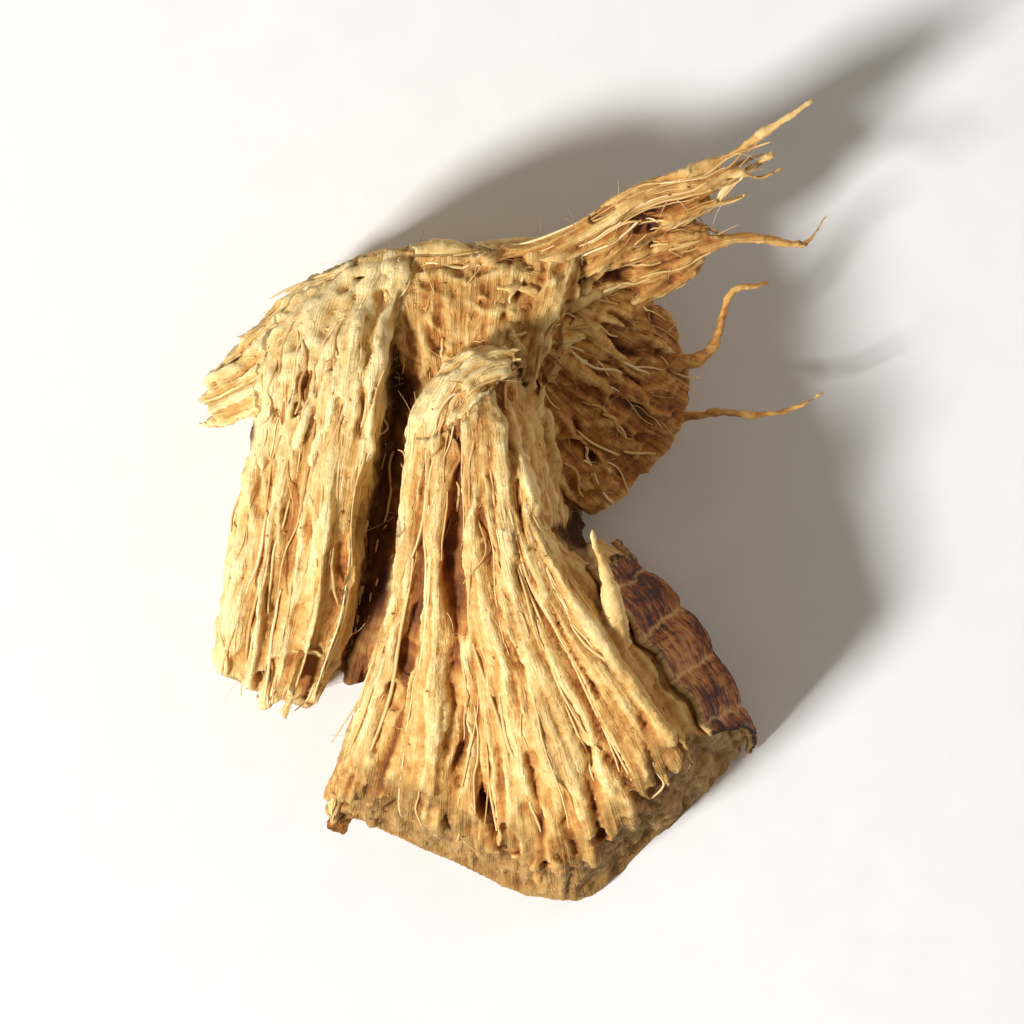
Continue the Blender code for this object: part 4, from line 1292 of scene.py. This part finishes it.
threadForm = {
    "thin": 0.012, "thick": 0.034,
    "short": 0.08, "long": 0.45,
    "steps": 18,
    "lifted": 0.16,          # share of the threads whose tip leaves the wood
    "highestLift": 0.40,
    "fuzzThin": 0.006, "fuzzThick": 0.012,
    "fuzzShort": 0.12, "fuzzLong": 0.55,
    "sides": 6,
    "wobble": 0.03,
    "wobbleLength": 0.8,
    "spareRoom": (0.22, 0.30, 0.08),     # past the CAD solid's box
}
woodMiddle = Vector(chipForm["toBoxMiddle"])
lowestReach = cadBox[0] / mm - woodMiddle - Vector(threadForm["spareRoom"])
highestReach = cadBox[1] / mm - woodMiddle + Vector(threadForm["spareRoom"])


def tooFar(point, slack):
    # past a knife cut, on the floor, or outside the room that the chip has
    inside = all(low < value < high for low, value, high in zip(lowestReach, point, highestReach))
    return not inside or point.z < 0.06 or pastCuts(point) > slack


def lyingThread(bundle, surface, chance):
    # follows the grain on the wood, and sometimes lifts off at its tip
    sides = bundle["sideRows"]
    around = chance.uniform(-0.75 if sides[0] else 0.0, 1.75 if sides[1] else 1.0)
    reach = chance.uniform(threadForm["short"], threadForm["long"])
    start = max(chance.uniform(0.0, 1.0 - reach * 0.7), bundle.get("coveredTo", 0.0))
    drift, wave = chance.uniform(0.005, 0.05), chance.uniform(0, 6.28)
    radius = chance.uniform(threadForm["thin"], threadForm["thick"])
    lift = chance.uniform(0.08, threadForm["highestLift"]) if chance.random() < threadForm["lifted"] else 0.0
    tone = chance.random()
    slack = chance.uniform(-0.1, 0.35)
    places = []
    for step in range(threadForm["steps"] + 1):
        t = step / threadForm["steps"]
        share = start + reach * t
        place = coverPoint(bundle, around + drift * math.sin(wave + share * 17), share)
        found, normal, _, gap = surface.find_nearest(place)
        if share > 1.0 or gap > 0.9 or underSkin(bundle, around, share):
            break
        point = found + normal * (radius * 0.7 + lift * clamped((t - 0.45) / 0.55, 0, 1) ** 2)
        if tooFar(point, slack):
            break
        places.append(point)
    return [(point, radius * (0.3 + 0.7 * math.sqrt(arch((index + 0.6) / (len(places) + 0.2)))), tone)
            for index, point in enumerate(evened(places, 3))]


def fuzzLine(bundle, surface, chance):
    # a short hair that starts in the wood and leans over along the grain
    sides = bundle["sideRows"]
    around = chance.uniform(-0.6 if sides[0] else 0.0, 1.6 if sides[1] else 1.0)
    share = chance.uniform(max(bundle.get("coveredTo", 0.0), 0.02), 0.97)
    ahead = coverPoint(bundle, around, share + 0.02) - coverPoint(bundle, around, share - 0.02)
    found, normal, _, gap = surface.find_nearest(coverPoint(bundle, around, share))
    if gap > 0.9 or underSkin(bundle, around, share):
        return []
    aside = Vector([chance.uniform(-0.7, 0.7) for _ in range(3)])
    away = normal * chance.uniform(0.15, 0.9) + ahead.normalized() * chance.choice((-1, 1)) + aside
    away = away.normalized()
    curl = Vector([chance.uniform(-0.6, 0.6) for _ in range(3)])
    length = chance.uniform(threadForm["fuzzShort"], threadForm["fuzzLong"])
    radius = chance.uniform(threadForm["fuzzThin"], threadForm["fuzzThick"])
    tone = chance.uniform(0.35, 1.0)
    line = []
    for step in range(7):
        t = step / 6
        point = found - normal * 0.02 + (away * t + curl * t**2) * length
        if tooFar(point, 0.1):
            break
        line.append((point, radius * (1 - 0.75 * t), tone))
    return line


threadPieces = {
    "rightFanThreads": {"wood": "rightFanWood", "fuzz": 150},
    "leftFanThreads": {"wood": "leftFanWood", "fuzz": 90},
    "backThreads": {"wood": "backWood", "fuzz": 130},
    "tailThreads": {"wood": "tailWood", "fuzz": 120},
    "flankThreads": {"wood": "flankWood", "fuzz": 110},
}


def guideMesh(name, lines):
    points, edges, girth, tone = [], [], [], []
    for line in lines:
        first = len(points)
        points += [tuple(point) for point, _, _ in line]
        girth += [radius for _, radius, _ in line]
        tone += [shade for _, _, shade in line]
        edges += [(first + index, first + index + 1) for index in range(len(line) - 1)]
    mesh = bpy.data.meshes.new(name)
    mesh.from_pydata(points, edges, [])
    giveAttribute(mesh, "girth", np.array(girth))
    giveAttribute(mesh, "tone", np.array(tone))
    return mesh


def makeThreads(name, piece, tree, material):
    # guide lines of (point, radius, tone) are laid out here and swept by the tree
    chance = random.Random(chipForm["seed"] * 100 + len(name))
    surface = surfaces[piece["wood"]]
    names = woodPieces[piece["wood"]]["bundles"]
    lines = [lyingThread(bundles[bundleName], surface, chance)
             for bundleName in names for _ in range(bundles[bundleName]["threads"])]
    lines += [fuzzLine(bundles[chance.choice(names)], surface, chance) for _ in range(piece["fuzz"])]
    lines = [line for line in lines if len(line) > 3]
    mesh = grown(name, guideMesh(name + "Guides", lines), tree, {
        "Girth": 1.0, "Sides": threadForm["sides"], "Wobble": threadForm["wobble"],
        "Wobble length": threadForm["wobbleLength"], "Seed": float(len(name)), "Material": material,
    })
    finishMesh(mesh)
    addPiece(name, mesh, material)


threadSweep = sweepTree()
driedThreads = threadMaterial()
for name, piece in threadPieces.items():
    makeThreads(name, piece, threadSweep, driedThreads)


# crumbs of dry flesh that cling to the wood
crumbForm = {
    "density": 1.5,          # to a square millimetre
    "size": 0.034,
    "crumple": 0.5,
    "relief": 0.00002,
    "seed": 3,
}


def crumbTree():
    # scatters crumpled little balls where they cling, by the ground's own attribute
    tree, source, result = newTree("clingingCrumbs", [
        ("Density", "NodeSocketFloat", 2.0), ("Size", "NodeSocketFloat", 0.05),
        ("Crumple", "NodeSocketFloat", 0.4), ("Seed", "NodeSocketInt", 0),
        ("Material", "NodeSocketMaterial", None),
    ])
    given = source.outputs
    favoured = addNode(tree, "GeometryNodeInputNamedAttribute", {"Name": "clings"}, data_type="FLOAT")
    density = mathNode(tree, "MULTIPLY", favoured.outputs[0], given["Density"])
    points = addNode(tree, "GeometryNodeDistributePointsOnFaces", {
        "Mesh": given["Geometry"], "Density": density, "Seed": given["Seed"],
    })
    crumb = addNode(tree, "GeometryNodeMeshIcoSphere", {"Subdivisions": 1, "Radius": given["Size"]})
    turn = addNode(tree, "FunctionNodeRandomValue", {"Max": (6.28, 6.28, 6.28)}, data_type="FLOAT_VECTOR")
    size = addNode(tree, "FunctionNodeRandomValue", {"Min": (0.35, 0.35, 0.3), "Max": (1.5, 1.2, 1.0)},
                   data_type="FLOAT_VECTOR")
    placed = addNode(tree, "GeometryNodeInstanceOnPoints", {
        "Points": points.outputs["Points"], "Instance": crumb.outputs["Mesh"], "Rotation": turn.outputs[0],
        "Scale": size.outputs[0],
    })
    real = addNode(tree, "GeometryNodeRealizeInstances", {0: placed.outputs[0]})
    place = addNode(tree, "GeometryNodeInputPosition").outputs[0]
    lumps = addNode(tree, "ShaderNodeTexNoise", {"Scale": 14.0, "Vector": place})
    strength = mathNode(tree, "MULTIPLY", given["Crumple"], given["Size"])
    crumpled = shaken(tree, real.outputs[0], lumps.outputs["Color"], strength)
    endTree(tree, crumpled, source, result)
    return tree


def crumbMaterial():
    material, tree, shader = newMaterial("driedRootCrumbs")
    place = objectPlace(tree)
    patch = noiseNode(tree, place, 1600, 3, 0.6)
    fine = noiseNode(tree, place, 9000, 4, 0.7)
    light = weighted(tree, [(patch, 0.8), (fine, 0.35)])
    colour = rampNode(tree, light, [
        (0.40, woodLook["brown"]), (0.54, woodLook["ochre"]), (0.68, woodLook["tan"]),
        (0.86, woodLook["straw"]),
    ])
    relief = bumpNode(tree, fine, crumbForm["relief"], 0.8)
    fillInputs(tree, shader, {"Base Color": colour, "Normal": relief, "Roughness": 0.8})
    return material


def makeCrumbs():
    # all the wood as one passing mesh, in millimetres, with how well a crumb clings to each point
    ground = bmesh.new()
    for made in madeWood:
        ground.from_mesh(made["mesh"])
    mesh = bpy.data.meshes.new("crumbGround")
    ground.to_mesh(mesh)
    ground.free()
    mesh.transform(Matrix.Diagonal((1 / mm, 1 / mm, 1 / mm, 1.0)))
    shadeAndTone = np.empty(len(mesh.vertices), np.float32)
    mesh.attributes["shadeAndTone"].data.foreach_get("value", shadeAndTone)
    heights = meshPoints(mesh)[:, 2]
    clings = np.clip(0.45 + 0.3 * shadeAndTone, 0.05, 1.0) * np.clip((heights - 0.15) / 0.3, 0, 1)
    giveAttribute(mesh, "clings", clings)
    material = crumbMaterial()
    crumbs = grown("clingingCrumbs", mesh, crumbTree(), {
        "Density": crumbForm["density"], "Size": crumbForm["size"], "Crumple": crumbForm["crumple"],
        "Seed": crumbForm["seed"], "Material": material,
    })
    crumbs.transform(Matrix.Diagonal((mm, mm, mm, 1.0)))
    crumbs.shade_smooth()
    addPiece("clingingCrumbs", crumbs, material)


makeCrumbs()

stageLook = {
    "floorSize": 0.6,
    "floorColour": (0.80, 0.79, 0.77),
    "keyPlace": (-0.115, -0.075, 0.115),
    "keySize": 0.030,
    "keyPower": 0.475,
    "keyColour": (1.0, 1.0, 1.0),
    "fillPlace": (0.120, 0.090, 0.110),
    "fillSize": 0.12,
    "fillPower": 0.085,
    "fillColour": (1.0, 0.85, 0.68),
    "worldColour": (1.0, 0.975, 0.94),
    "worldStrength": 0.18,
    "lens": 300,
    "cameraHeight": 0.158,
}


def makeFloor():
    mesh = bpy.data.meshes.new("floor")
    plane = bmesh.new()
    bmesh.ops.create_grid(plane, x_segments=1, y_segments=1, size=stageLook["floorSize"] / 2)
    plane.to_mesh(mesh)
    plane.free()
    mesh.transform(Matrix.Translation((0, 0, -0.00002)))
    material, tree, shader = newMaterial("paleFloor")
    speckle = noiseNode(tree, objectPlace(tree), 900, 4, 0.6)
    floorColour = stageLook["floorColour"]
    darker = tuple(0.97 * channel for channel in floorColour)
    colour = rampNode(tree, speckle, [(0.35, darker), (0.65, floorColour)])
    fillInputs(tree, shader, {"Base Color": colour, "Roughness": 0.9})
    mesh.materials.append(material)
    floor = bpy.data.objects.new("floor", mesh)
    bpy.context.collection.objects.link(floor)


def makeLight(name, place, size, power, colour):
    light = bpy.data.lights.new(name, "AREA")
    light.size = size
    light.color = colour
    light.energy = power
    lamp = bpy.data.objects.new(name, light)
    lamp.location = place
    lamp.rotation_mode = "QUATERNION"
    lamp.rotation_quaternion = (-Vector(place)).to_track_quat("-Z", "Y")
    lamp.visible_camera = False
    bpy.context.collection.objects.link(lamp)


def makeCamera():
    lowest, highest = cadBox
    middle = (lowest + highest) / 2
    camera = bpy.data.cameras.new("camera")
    camera.lens = stageLook["lens"]
    camera.clip_start, camera.clip_end = 0.01, 2.0
    holder = bpy.data.objects.new("camera", camera)
    holder.location = (middle.x, middle.y, stageLook["cameraHeight"])
    bpy.context.collection.objects.link(holder)
    bpy.context.scene.camera = holder


def makeWorld():
    world = bpy.data.worlds.new("paleRoom")
    world.use_nodes = True
    background = world.node_tree.nodes["Background"]
    background.inputs["Color"].default_value = (*stageLook["worldColour"], 1.0)
    background.inputs["Strength"].default_value = stageLook["worldStrength"]
    bpy.context.scene.world = world


makeFloor()
for name in ("key", "fill"):
    makeLight(name, *(stageLook[name + part] for part in ("Place", "Size", "Power", "Colour")))
makeCamera()
makeWorld()
bpy.context.scene.view_settings.view_transform = "Standard"
print("floor, light and camera ready")
